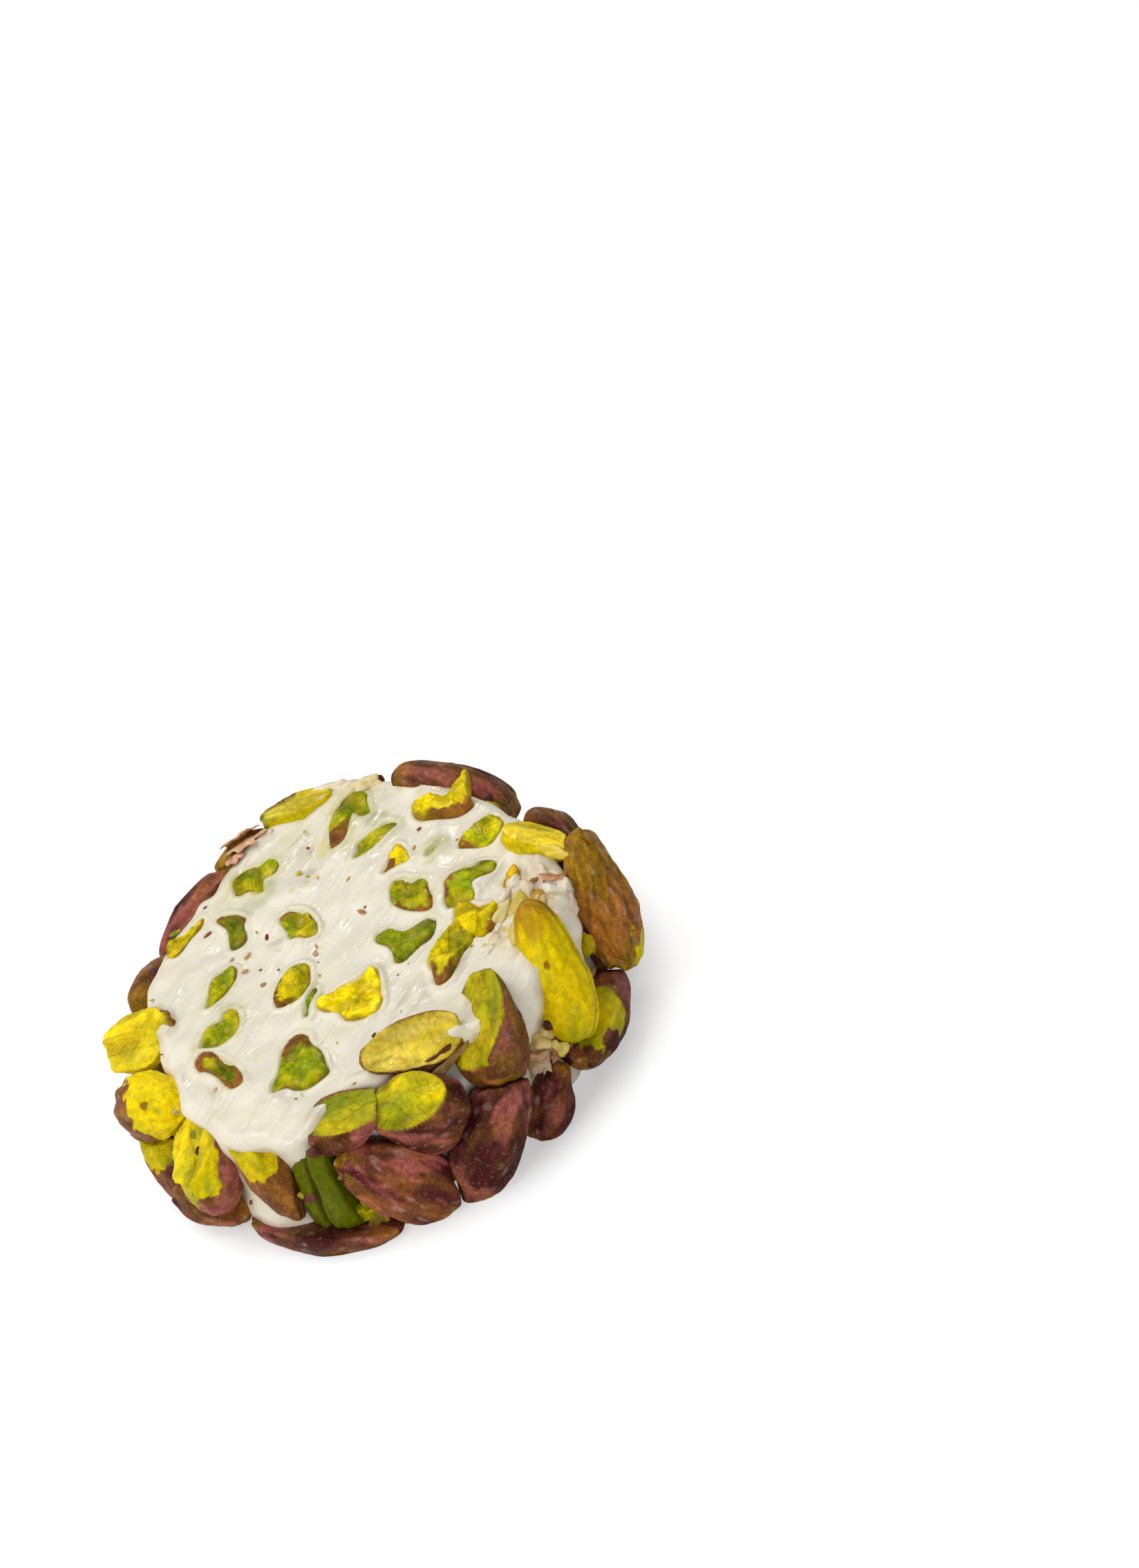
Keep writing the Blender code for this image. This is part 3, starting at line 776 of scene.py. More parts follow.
def build_nougat():
    """The nougat: the outline's wave sum carried along a rounded profile, swollen where it meets kernels."""
    profile = np.concatenate(nougat_profile())
    angle = np.linspace(0.0, 2.0 * math.pi, NOUGAT_SEGMENTS, endpoint=False)
    outline = outline_radius(angle)
    radius = profile[:, :1] * (outline[None] - profile[:, 1:2])
    rings = np.stack([radius * np.cos(angle), radius * np.sin(angle),
                      np.broadcast_to(profile[:, 2:], radius.shape)], axis=-1)
    points = rings.reshape(-1, 3)

    outward = np.stack([np.cos(angle), np.sin(angle), 0 * angle], axis=1)
    outward = np.broadcast_to(outward, rings.shape).reshape(-1, 3)
    face = np.repeat(ease(profile[:, 2], FACE_HEIGHT - 1.2, FACE_HEIGHT - 0.05), NOUGAT_SEGMENTS)
    face *= np.repeat(ease(1.02 - profile[:, 0], -0.02, 0.02), NOUGAT_SEGMENTS)
    drawn = np.repeat(ease(profile[:, 0], 0.50, 1.0), NOUGAT_SEGMENTS)

    level = kernel_levels(points)
    climb = np.exp(-np.clip(level, 0.0, None) / 0.8) * (level > -1.5)
    bulge = 0.30 * ripple(points, 9.0, 21) + 0.16 * ripple(points, 3.5, 22)
    bulge -= 1.1 * np.exp(-np.clip(level, 0.0, None) / 1.8)
    for turn, height, reach, width in LOBES:
        here = heading(turn, 0.0)
        gap = np.linalg.norm(points - LOG_AXIS - here * 26.0 - (0, 0, height), axis=1)
        bulge += reach * np.exp(-((gap / width) ** 2))
    points = points + outward * (drawn * (bulge + 0.5 * climb))[:, None]
    level = kernel_levels(points)
    climb = np.exp(-np.clip(level, 0.0, None) / 0.8) * (level > -1.5)
    relief = face_relief(points[:, :2], 1) + millimetres("swell") * climb * 0.8
    points[:, 2] += face * relief
    for chip in FACE_CHIPS:
        outline_chip = chip_outline(chip)
        near = (np.abs(points[:, :2] - outline_chip.mean(axis=0)) < 8.0).all(axis=1) & (face > 0.5)
        gap = distance_to_loop(points[near, :2], outline_chip)
        crest = np.exp(-((gap - 0.4) / 0.4) ** 2) * (0.16 + 0.16 * chip.rise)
        sink = -ease(-gap, 0.0, 0.5) * 0.5
        points[near, 2] += crest + sink
    points[:, 2] = np.maximum(points[:, 2], 0.0)

    tint = nougat_paint(points, level, face)
    start = np.array([0.0, 0.0, 0.0])
    end = np.array([0.0, 0.0, points[-NOUGAT_SEGMENTS:, 2].mean()])
    tint = np.concatenate([tint[:1], tint, tint[-1:]])
    return Shell(start, points.reshape(rings.shape), end, paint=tint)


def nougat_paint(points, level, face):
    """Colour of the nougat: off-white, stained round its chips, and darker and browner beside its kernels."""
    base = colour("nougat_colour")
    paint = np.repeat(base[None], len(points), axis=0)
    cloud = ease(ripple(points, 8.0, 51), 0.0, 1.2)
    paint = blend(paint, linear(224, 212, 182), 0.4 * cloud)
    flat = points[:, :2]
    for x, y, size, shade, strength in STAINS:
        gap = np.hypot(flat[:, 0] - LOG_AXIS[0] - x, flat[:, 1] - LOG_AXIS[1] - y)
        gap += 0.35 * size * ripple(points, size, 52)
        paint = blend(paint, linear(*shade), face * strength * (1.0 - ease(gap, 0.2 * size, 1.15 * size)))
    for chips, shown in ((FACE_CHIPS, face > 0.5), (back_chips(), points[:, 2] < 0.2)):
        for index, chip in enumerate(chips):
            outline = chip_outline(chip)
            near = (np.abs(flat - outline.mean(axis=0)) < 9.0).all(axis=1) & shown
            gap = distance_to_loop(flat[near], outline) + 0.25 * ripple(points[near], 1.5, 53 + index)
            stain = blend(linear(222, 200, 110), linear(184, 184, 84), np.array(np.clip(chip.hue, 0, 1)))
            share = (0.30 + 0.35 * chip.haze) * np.exp(-np.clip(gap, 0, None) / (0.18 + 0.5 * chip.haze))
            paint[near] = blend(paint[near], stain, share)
    # Darker and browner within about half a millimetre of each kernel.
    beside = np.exp(-np.clip(level, 0.0, None) / 0.45) * (0.35 + 0.3 * ripple(points, 2.2, 54))
    return blend(paint, linear(196, 176, 128), np.clip(beside, 0.0, 0.6))


def nougat_material():
    """Moist nougat: its paint, a faint bump and a soft gloss that drifts."""
    graph = Graph("nougat")
    paint = graph.attribute("paint")
    drift = graph.span(graph.noise(3.0, 3.0), 0.35, 0.7)
    tone = graph.mix(paint, linear(238, 230, 210), drift * 0.2)
    sheen = graph.span(graph.noise(2.2, 2.0), 0.3, 0.7, 0.20, 0.44)
    turned = graph.add("ShaderNodeMapping", {"vector_type": "TEXTURE"},
                       {"Vector": graph.place(), "Rotation": (0.0, 0.0, math.radians(KNIFE_HEADING)),
                        "Scale": (14.0, 1.0, 4.0)})
    scratch = graph.span(graph.noise(0.9, 2.0, place=turned), 0.52, 0.72)
    broad = graph.span(graph.noise(2.6, 2.0, place=turned), 0.3, 0.7)
    relief = graph.noise(2.4, 3.0, distortion=0.4) + scratch * 0.35 + broad * 0.5
    bump = graph.bump(relief, 0.45, 0.35)
    return graph.finish(Base_Color=tone, Roughness=sheen, Normal=bump, Subsurface_Weight=0.16,
                        Subsurface_Scale=0.002, Subsurface_Radius=(1.0, 0.85, 0.6), Specular_IOR_Level=0.45)


# ---------------------------------------------------------------- the kernels

# How each listed kernel looks, in the order of its node's number. hue: flesh, 0 yellow to 1 green;
# pale: how far its cut is the pale inside; warmth: skin, 0 purple to 1 tan; bare: where the skin is off
# (turn and rise of the bare side, and the half-angle that it covers); cleft: the groove's depth, mm;
# shade: its brightness; grow: how far the kernel swells past the frame's solid, mm; stain: a brown
# stain (turn, rise, half-angle); rust: how far the far end browns.
Look = namedtuple("Look", "hue pale warmth bare cleft shade grow stain rust", defaults=(1.0, 0.0, None, 0.0))

LOOKS = (
    Look(0.02, 0.75, 0.65, None, 0.0),
    Look(0.00, 0.10, 0.60, (330, 20, 178), 0.5, 1.0, 0.0, (249, 58, 9), 0.75),
    Look(0.50, 0.05, 0.45, (200, 60, 50), 0.0, 0.88),
    Look(0.30, 0.00, 0.05, None, 0.0),
    Look(0.30, 0.00, 0.15, None, 0.0, 1.5),
    Look(0.50, 0.05, 0.05, None, 0.0, 1.0),
    Look(1.10, 0.00, 0.30, (241, 0, 178), 0.70, 0.50),
    Look(0.80, 0.05, 0.10, None, 0.0, 1.0, 0.4),
    Look(0.20, 0.05, 0.62, (215, 75, 46), 0.0, 0.9),
    Look(0.35, 0.10, 0.10, (205, 42, 68), 0.0, 1.12),
    Look(0.00, 0.00, 0.45, (330, 30, 100), 0.0, 1.20, 0.0, (252, 45, 7), 0.0),
    Look(0.12, 0.10, 0.70, (200, 30, 100), 0.0, 1.05),
    Look(0.30, 0.00, 0.12, None, 0.0, 1.12, 0.9),
    Look(0.40, 0.00, 0.95, (300, -60, 30), 0.0, 1.3),
    Look(0.45, 0.00, 0.12, (285, 60, 52), 0.0),
    Look(0.30, 0.00, 0.05, None, 0.0),
    Look(0.40, 0.00, 0.20, (200, 60, 40), 0.0),
    Look(0.40, 0.00, 0.35, None, 0.0),
    Look(0.05, 0.30, 0.50, (300, 60, 120), 0.0),
    Look(0.30, 0.00, 0.45, None, 0.0),
    Look(0.30, 0.00, 0.15, None, 0.0),
    Look(0.30, 0.30, 0.60, (300, 50, 100), 0.0, 1.0, 0.9),
    Look(0.20, 0.00, 0.85, None, 0.0, 1.1, 0.3),
    Look(0.30, 0.00, 0.10, None, 0.0),
    Look(0.30, 0.00, 0.40, None, 0.0),
)

KERNEL_TURNS = 128
KERNEL_STEPS = 92


def kernel_look(number):
    """The listed look of a kernel, or a seeded one on the side that is not described."""
    if number <= len(LOOKS):
        return LOOKS[number - 1]
    chance = np.random.default_rng(700 + number)
    bare = None
    draw = chance.uniform()
    if draw < 0.22:
        bare = (chance.uniform(0, 360), chance.uniform(-20, 40), 178)
    elif draw < 0.45:
        bare = (chance.uniform(0, 360), chance.uniform(20, 70), chance.uniform(30, 55))
    return Look(chance.uniform(0, 0.9), 0.1, chance.uniform(0.0, 0.6), bare, chance.choice([0.0, 0.0, 0.5]))


def build_kernel(name, body):
    """A kernel: rays from its middle out to the frame's solid, with wrinkles along its length.

    The rays' directions are those of an ellipsoid's grid about the kernel's long axis, so the points
    are even; each ray's length comes from the solid, plus small waves for the skin or the cut.
    """
    number = int(name.split("_")[1])
    look = kernel_look(number)
    seed = 100 * number
    turn = np.linspace(0.0, 2.0 * math.pi, KERNEL_TURNS, endpoint=False)
    step = np.linspace(0.0, math.pi, KERNEL_STEPS + 2)
    polar = np.concatenate([[0.0], np.repeat(step[1:-1], KERNEL_TURNS), [math.pi]])
    round_it = np.concatenate([[0.0], np.tile(turn, KERNEL_STEPS), [0.0]])
    local = np.stack([np.cos(polar) * body.half[0],
                      np.sin(polar) * np.cos(round_it) * body.half[1],
                      np.sin(polar) * np.sin(round_it) * body.half[2]], axis=1)
    directions = unit(local @ body.axes)
    reach, knife = body.rays(directions)
    surface = directions * reach[:, None]
    own = surface @ body.axes.T
    share = own / body.half

    aim_stain = heading(*look.stain[:2]) if look.stain else heading(0, -90)
    away = np.degrees(np.arccos(np.clip(unit(surface) @ aim_stain, -1, 1))) + 2.5 * ripple(own, 1.4, seed + 13)
    stained = 1.0 - ease(away, 0.6 * look.stain[2], look.stain[2]) if look.stain else 0.0 * away
    bare = knife.copy()
    if look.bare is not None:
        aim = heading(look.bare[0], look.bare[1])
        angle = np.degrees(np.arccos(np.clip(unit(surface / body.half.max()) @ aim, -1, 1)))
        angle += 9.0 * ripple(own, 3.0, seed + 1) + 5.0 * ripple(own, 1.2, seed + 2)
        bare = np.maximum(bare, 1.0 - ease(angle, look.bare[2] - 4.0, look.bare[2] + 4.0))

    stretched = own * (0.16, 1.0, 1.0)
    furrow = ripple(stretched, 1.7, seed + 3)
    furrow_fine = ripple(own * (0.3, 1.0, 1.0), 0.8, seed + 4)
    lumps = ripple(own, 6.0, seed + 5)
    wrinkled = 1.0 + 2.0 * look.warmth**3
    skin_wave = millimetres("wrinkles") * wrinkled * (0.7 * furrow - 0.3 * np.abs(furrow_fine) + 0.2)
    broken = chipped(own * (0.45, 1.0, 1.0), 3.4, seed + 6)
    cut_wave = 0.50 * broken + 0.06 * ripple(own * (0.4, 1.0, 1.0), 0.9, seed + 7)
    peel_wave = 0.08 * furrow + 0.05 * furrow_fine
    wave = skin_wave * (1.0 - bare) + bare * (knife * cut_wave + (1.0 - knife) * peel_wave)
    wave += (0.16 * lumps + look.grow) * (1.0 - 0.7 * knife)
    wave -= 0.10 * bare * (1.0 - knife)
    from_cleft = own[:, 2] - 0.3 * ripple(own, 6.0, seed + 8)
    groove = np.exp(-((from_cleft / 0.28) ** 2))
    wave -= look.cleft * groove * (1.0 - knife) * np.sin(polar)
    seam = np.exp(-((own[:, 2] / 0.5) ** 2)) * (1.0 - knife) * (look.cleft == 0.0)
    wave += 0.12 * seam * np.sin(polar)
    points = body.middle + directions * (reach + wave)[:, None]
    points[:, 2] = np.maximum(points[:, 2], 0.02)

    warmth = look.warmth + 0.75 * ease(np.abs(share[:, 0]), 0.55, 1.0) * (ripple(own, 5.0, seed + 9) > -0.1)
    skin = skin_paint(own, warmth, seed + 10)
    skin = skin * (1.0 + 0.10 * wrinkled * np.clip(furrow_fine, -1, 1))[:, None]
    dust = ease(ripple(own * (0.5, 1, 1), 1.1, seed + 12), 1.0, 1.6)
    skin = blend(skin, linear(196, 170, 158), 0.3 * dust)
    flesh = kernel_flesh(own, share, look, knife, seed + 20)
    # Painted light and shade: a cut's flesh is painted brighter where its broken surface stands up and darker
    # in its hollows.
    flesh = flesh * (1.0 + 0.30 * knife * np.clip(broken, -1.0, 1.0))[:, None]
    paint = blend(skin, flesh, ease(bare, 0.35, 0.65))
    paint = blend(paint, linear(132, 76, 20), 0.85 * stained)
    line = np.exp(-(((bare - 0.5) / 0.22) ** 2))
    paint = blend(paint, linear(128, 92, 52), 0.55 * line)
    # Painted shade: the cleft's groove, which the mesh cuts in, is painted darker along its length.
    paint = blend(paint, paint * 0.40, np.clip(look.cleft * 1.6, 0.0, 0.9) * groove * (1.0 - knife))
    lip = np.exp(-(((np.abs(from_cleft) - 0.55) / 0.16) ** 2)) * (1.0 - knife)
    paint = blend(paint, linear(176, 134, 60), np.clip(look.cleft * 1.3 - 0.5, 0.0, 0.6) * lip)
    paint = paint * look.shade
    start, end = points[0], points[-1]
    rings = points[1:-1].reshape(KERNEL_STEPS, KERNEL_TURNS, 3)
    return Shell(start, rings, end, paint=paint, bare=ease(bare, 0.35, 0.65))


def kernel_flesh(own, share, look, knife, seed):
    """Flesh of a kernel: streaks along its length, a pale inside and a greener edge round a cut."""
    streaks = ripple(own * (0.22, 1.0, 1.0), 1.5, seed)
    drift = look.hue + 0.16 * streaks + 0.2 * ripple(own, 5.0, seed + 1) + 0.35 * ease(share[:, 0], 0.5, 1.0)
    paint = blend(colour("yellow"), colour("green"), np.clip(drift, 0.0, 1.0))
    inside = knife * look.pale * (0.75 + 0.25 * streaks)
    paint = blend(paint, colour("pale"), np.clip(inside + 0.08 * ease(streaks, 0.4, 1.2), 0.0, 0.9))
    paint = blend(paint, linear(168, 104, 16), look.rust * ease(-share[:, 0] + 0.15 * streaks, 0.35, 1.0))
    # Painted shade: dark lines across a cut stand for the shade in cracks that the mesh does not have.
    cracks = np.exp(-((ripple(own * (0.3, 1.0, 1.0), 2.6, seed + 2) / 0.2) ** 2))
    paint = blend(paint, paint * (0.55, 0.5, 0.4), 0.6 * cracks * knife)
    return paint * (1.0 + 0.10 * ripple(own, 1.0, seed + 3))[:, None]


def kernel_material():
    """Kernels: their paint, flecks on the skin, cracks in the bare flesh with painted shade along them, and a
    faint bump.
    """
    graph = Graph("pistachio_kernel")
    paint = graph.attribute("paint")
    bare = graph.attribute("bare", "Fac")
    fracture_and_shade = (graph.noise(2.4, 3.0, distortion=0.9) - 0.5).math("ABSOLUTE", 0.0)
    fracture_and_shade = graph.span(fracture_and_shade, 0.0, 0.022, 1.0, 0.0) * bare
    grain = graph.span(graph.noise(0.5, 4.0, 0.65), 0.32, 0.68)
    dark = graph.mix(paint, (0.42, 0.34, 0.32), (1.0 - grain) * (0.7 - bare * 0.45), "MULTIPLY")
    fleck = graph.span(graph.noise(0.45, 4.0, 0.65), 0.56, 0.72) * (1.0 - bare) * 0.42
    tone = graph.mix(dark, linear(196, 140, 120), fleck)
    # Painted shade: the flesh is painted darker along the cracks that the bump cuts in.
    tone = graph.mix(tone, (0.55, 0.5, 0.4), fracture_and_shade * 0.35, "MULTIPLY")
    roughness = graph.span(graph.noise(1.4, 2.0), 0.3, 0.7, 0.34, 0.56)
    bump = graph.bump(graph.noise(0.7, 4.0, 0.65) - fracture_and_shade * 0.4, 0.55, 0.25)
    return graph.finish(Base_Color=tone, Roughness=roughness, Normal=bump, Subsurface_Weight=0.08,
                        Subsurface_Scale=0.0012, Specular_IOR_Level=0.14, Specular_Tint=(1.0, 0.85, 0.45, 1.0))


def chip_material():
    """Chopped kernels: their paint, cracked and grained, with painted shade along the cracks, and a faint
    bump.
    """
    graph = Graph("chopped_kernel")
    paint = graph.attribute("paint")
    fracture_and_shade = (graph.noise(1.9, 3.0, distortion=0.9) - 0.5).math("ABSOLUTE", 0.0)
    fracture_and_shade = graph.span(fracture_and_shade, 0.0, 0.025, 1.0, 0.0)
    grain = graph.span(graph.noise(0.6, 4.0, 0.6), 0.3, 0.72)
    tone = graph.mix(paint, (0.5, 0.45, 0.3), (1.0 - grain) * 0.4, "MULTIPLY")
    # Painted shade: the flesh is painted darker along the cracks that the bump cuts in.
    tone = graph.mix(tone, (0.55, 0.5, 0.35), fracture_and_shade * 0.35, "MULTIPLY")
    roughness = graph.span(graph.noise(1.2, 2.0), 0.3, 0.7, 0.36, 0.58)
    bump = graph.bump(graph.noise(0.7, 4.0, 0.65) - fracture_and_shade * 0.5, 0.55, 0.25)
    return graph.finish(Base_Color=tone, Roughness=roughness, Normal=bump, Subsurface_Weight=0.08,
                        Subsurface_Scale=0.0012, Specular_IOR_Level=0.14, Specular_Tint=(1.0, 0.85, 0.45, 1.0))


# ---------------------------------------------------------------- small loose bits

SPECKS = (
    (-12.5, 16.6, 0.75, 0.18, 25, (160, 92, 66)), (-5.3, 13.1, 0.55, 0.45, 0, (226, 160, 96)),
    (-6.3, 10.8, 0.55, 0.22, 80, (140, 56, 42)), (0.7, 19.0, 0.4, 0.35, 60, (214, 204, 10)),
    (5.1, 6.5, 0.6, 0.25, -50, (206, 130, 76)), (7.6, 7.4, 0.4, 0.25, 20, (96, 64, 60)),
    (6.5, 9.3, 0.6, 0.22, 35, (226, 184, 130)), (14.2, 12.6, 0.6, 0.22, 60, (214, 166, 104)),
    (-8.7, 5.8, 0.22, 0.14, 0, (92, 84, 60)), (-6.8, 4.2, 0.16, 0.12, 0, (110, 96, 66)),
    (-0.6, 14.4, 0.4, 0.14, 30, (190, 120, 90)), (2.9, -8.5, 0.22, 0.18, 0, (120, 30, 40)),
    (-0.5, -14.5, 0.35, 0.2, 40, (120, 84, 40)), (-5.0, -20.4, 0.4, 0.3, 0, (214, 150, 50)),
    (-2.1, 3.8, 0.5, 0.35, 70, (228, 194, 140)), (3.7, 25.6, 0.3, 0.25, 0, (204, 204, 90)),
    (-1.1, 16.0, 0.32, 0.2, 40, (206, 192, 20)), (0.9, 16.3, 0.36, 0.24, 10, (210, 190, 30)),
    (-0.6, 15.1, 0.4, 0.14, 50, (214, 160, 110)), (-2.2, 15.6, 0.45, 0.13, 60, (196, 120, 90)),
    (2.4, 16.2, 0.5, 0.22, 70, (224, 168, 100)), (1.6, 15.0, 0.32, 0.18, 30, (222, 176, 110)),
    (1.4, 17.6, 0.26, 0.2, 0, (212, 196, 40)), (5.6, 13.4, 0.5, 0.18, 50, (226, 178, 116)),
    (-9.4, 9.4, 0.6, 0.2, 30, (228, 186, 130)), (-11.2, 10.2, 0.4, 0.15, 30, (228, 190, 140)),
    (-1.6, 4.9, 0.3, 0.14, 80, (220, 170, 110)), (25.8, -4.4, 0.5, 0.3, 30, (128, 84, 52)),
    (24.4, -3.2, 0.5, 0.35, -20, (170, 120, 56)),
)


def dome(middle, axes, sizes, paint, turns=10, steps=5, roughness=0.25, seed=0):
    """A small rough bead: an ellipsoid whose radius wavers with its direction."""
    polar = np.linspace(0, math.pi, steps + 2)
    round_it = np.linspace(0, 2 * math.pi, turns, endpoint=False)
    polar = np.concatenate([[0.0], np.repeat(polar[1:-1], turns), [math.pi]])
    round_it = np.concatenate([[0.0], np.tile(round_it, steps), [0.0]])
    across = np.sin(polar)
    ball = np.stack([across * np.cos(round_it), across * np.sin(round_it), np.cos(polar)], axis=1)
    waves = ripple(ball, 1.6, seed, 8) + 0.3 * ripple(ball, 0.7, seed + 50, 12)
    ball *= (1.0 + roughness * waves)[:, None]
    points = middle + (ball * np.asarray(sizes)) @ axes
    paint = np.repeat(np.asarray(paint)[None], len(points), axis=0)
    rings = points[1:-1].reshape(steps, turns, 3)
    return Shell(points[0], rings, points[-1], paint=paint, bare=np.ones(len(points)))


# Torn lumps round the rim's broken side: middle from the log's axis and height, sizes, turn and colour.
TORN = (
    (20.6, -3.6, 16.2, 1.9, 0.9, 0.7, 30, (232, 220, 196)),
    (23.2, -4.6, 16.2, 1.5, 1.0, 0.9, 70, (226, 206, 176)),
    (19.4, -5.8, 16.1, 2.2, 0.9, 0.7, 48, (226, 206, 130)),
    (21.0, -7.2, 16.0, 3.0, 1.7, 0.9, 60, (206, 176, 40)),
    (17.2, -8.8, 16.0, 2.0, 0.8, 0.7, 40, (232, 216, 180)),
    (18.8, -10.8, 15.8, 2.2, 0.9, 0.9, 62, (234, 222, 196)),
    (24.6, -7.0, 15.6, 1.7, 1.2, 0.9, 80, (214, 184, 120)),
    (23.2, -9.4, 15.7, 3.2, 1.9, 1.1, 66, (190, 146, 30)),
    (20.2, -13.0, 15.2, 2.2, 1.0, 0.9, 60, (232, 216, 184)),
    (26.4, -9.5, 14.6, 1.8, 1.0, 1.1, 75, (228, 208, 180)),
    (16.0, -11.0, 16.1, 1.4, 0.6, 0.5, 30, (232, 218, 188)),
    (25.8, -2.2, 16.0, 1.5, 0.8, 0.8, 100, (226, 204, 178)),
    (22.4, -2.0, 16.3, 1.1, 0.7, 0.6, 10, (234, 222, 196)),
    (27.2, -6.0, 15.0, 1.6, 0.9, 1.0, 70, (232, 218, 192)),
    (3.0, 30.2, 15.6, 2.0, 1.2, 0.9, 0, (234, 222, 196)),
    (9.5, 31.4, 15.7, 2.2, 1.0, 0.8, -15, (234, 220, 186)),
    (13.2, 28.8, 15.9, 1.8, 1.0, 0.7, -20, (230, 208, 150)),
    (-1.5, 28.4, 15.9, 1.6, 1.0, 0.8, 10, (232, 214, 186)),
    (21.0, -9.4, 16.7, 2.6, 1.2, 1.0, 50, (212, 190, 80)),
    (28.4, -1.4, 17.0, 2.3, 0.75, 0.8, -40, (236, 206, 24)),
    (16.4, -21.4, 9.6, 1.3, 1.0, 1.3, 20, (226, 196, 120)),
    (17.4, -22.4, 8.0, 0.9, 0.8, 1.1, 50, (224, 196, 60)),
    (14.8, -22.6, 8.4, 1.2, 0.8, 1.3, 0, (188, 140, 96)),
)


def build_torn():
    """Lumps of torn nougat, ragged beads that sink halfway into the rim."""
    shells = []
    for index, (x, y, height, length, width, depth, turn, shade) in enumerate(TORN):
        sizes = (length, width, depth)
        middle = LOG_AXIS + (x, y, height - 0.25)
        shells.append(dome(middle, spun_axes(turn), sizes, linear(*shade), 34, 18, 0.34, 600 + index))
    return shells


def spun_axes(angle):
    """Three axes as rows: level ones turned by an angle in degrees, then +Z."""
    turn = math.radians(angle)
    return np.array([[math.cos(turn), math.sin(turn), 0], [-math.sin(turn), math.cos(turn), 0], [0, 0, 1.0]])


def build_specks():
    """Specks of skin and flesh that lie flush in both cut faces: the listed ones, then seeded ones."""
    chance = np.random.default_rng(17)
    shells = []
    for index, (x, y, length, width, turn, shade) in enumerate(SPECKS):
        middle = LOG_AXIS + (x, y, FACE_HEIGHT + 0.02)
        shells.append(dome(middle, spun_axes(turn), (length, width, 0.12), linear(*shade), seed=index))
    shades = ((206, 150, 96), (150, 76, 52), (204, 196, 60), (222, 190, 130), (120, 110, 60), (176, 172, 40))
    for index in range(settings().speck_count):
        turn, reach = chance.uniform(0, 2 * math.pi), 25.0 * math.sqrt(chance.uniform())
        size = chance.uniform(0.08, 0.28)
        shade = linear(*shades[chance.integers(len(shades))])
        top = index % 2 == 0
        height = FACE_HEIGHT + 0.02 if top else 0.08
        middle = np.array([reach * math.cos(turn), reach * math.sin(turn), height])
        sizes = (size * chance.uniform(1.0, 2.2), size, 0.08)
        shells.append(dome(middle, spun_axes(chance.uniform(0, 180)), sizes, shade, seed=200 + index))
    return shells


# Broken pieces that lie in the wall: angle, height, length, width, depth, turn, and how skin-like each is.
WALL_CHIPS = (
    (151.0, 4.6, 3.4, 2.2, 1.3, 30, 1.0), (154.5, 10.0, 2.2, 1.5, 1.0, 110, 0.0),
    (146.0, 8.2, 1.5, 1.1, 0.8, 70, 0.4), (158.5, 6.8, 1.7, 1.2, 0.9, 20, 0.0),
    (333.0, 9.5, 1.7, 1.2, 0.9, 70, 0.2), (336.5, 6.5, 2.0, 1.4, 1.0, 20, 1.0),
    (29.0, 13.0, 1.6, 1.1, 0.8, 40, 0.0), (66.0, 12.6, 2.4, 1.5, 1.0, 15, 0.0),
    (70.0, 5.8, 1.8, 1.3, 1.0, 80, 1.0), (222.0, 4.6, 1.2, 0.8, 0.6, 60, 1.0),
    (246.0, 3.2, 1.6, 1.2, 1.3, 20, 0.0), (248.5, 4.6, 1.4, 1.0, 1.0, 70, 0.5),
)


def build_wall_chips():
    """Broken pieces in the wall: rough beads pressed halfway in, turned to the wall's own axes."""
    shells = []
    for index, (angle, height, length, width, depth, turn, skin) in enumerate(WALL_CHIPS):
        turn_around = np.array([math.radians(angle)])
        out = heading(angle, 0)
        side = np.cross((0, 0, 1.0), out)
        middle = out * (outline_radius(turn_around)[0] + 0.1) + (0, 0, height)
        axes = spun_axes(turn) @ np.stack([side, np.array([0, 0, 1.0]), out])
        sizes = (length, width, depth)
        shell = dome(middle, axes, sizes, linear(255, 255, 255), 40, 22, 0.22, 800 + index)
        own = shell.points - middle
        flesh = flesh_paint(own, 0.3 + 0.1 * (index % 4), 1.0, 820 + index)
        shell.values["paint"] = blend(flesh, skin_paint(own, 0.2, 840 + index), np.full(len(own), skin))
        shells.append(shell)
    return shells


def build_crumbs():
    """Crumbs of flesh and skin caught between the kernels, on the wall of the nougat."""
    chance = np.random.default_rng(23)
    shells = []
    shades = ((200, 180, 60), (150, 150, 40), (110, 66, 60), (170, 130, 80), (90, 50, 52), (210, 196, 120))
    for index in range(settings().crumb_count):
        angle = chance.uniform(0, 2 * math.pi)
        height = chance.uniform(1.2, FACE_HEIGHT - 1.0)
        reach = outline_radius(np.array([angle]))[0] + chance.uniform(0.1, 0.9)
        middle = np.array([reach * math.cos(angle), reach * math.sin(angle), height])
        size = chance.uniform(0.35, 1.0)
        axes = np.linalg.qr(chance.normal(size=(3, 3)))[0]
        axes *= np.sign(np.linalg.det(axes))
        sizes = size * chance.uniform(0.45, 1.3, 3)
        shade = linear(*shades[chance.integers(len(shades))])
        shells.append(dome(middle, axes, sizes, shade, seed=400 + index))
    return shells


# Papery flakes of skin: middle (angle, radius, height), length, width, curl, its normal's turn and rise,
# its own spin, and colour.
Flake = namedtuple("Flake", "angle radius height length width curl turn rise spin shade")

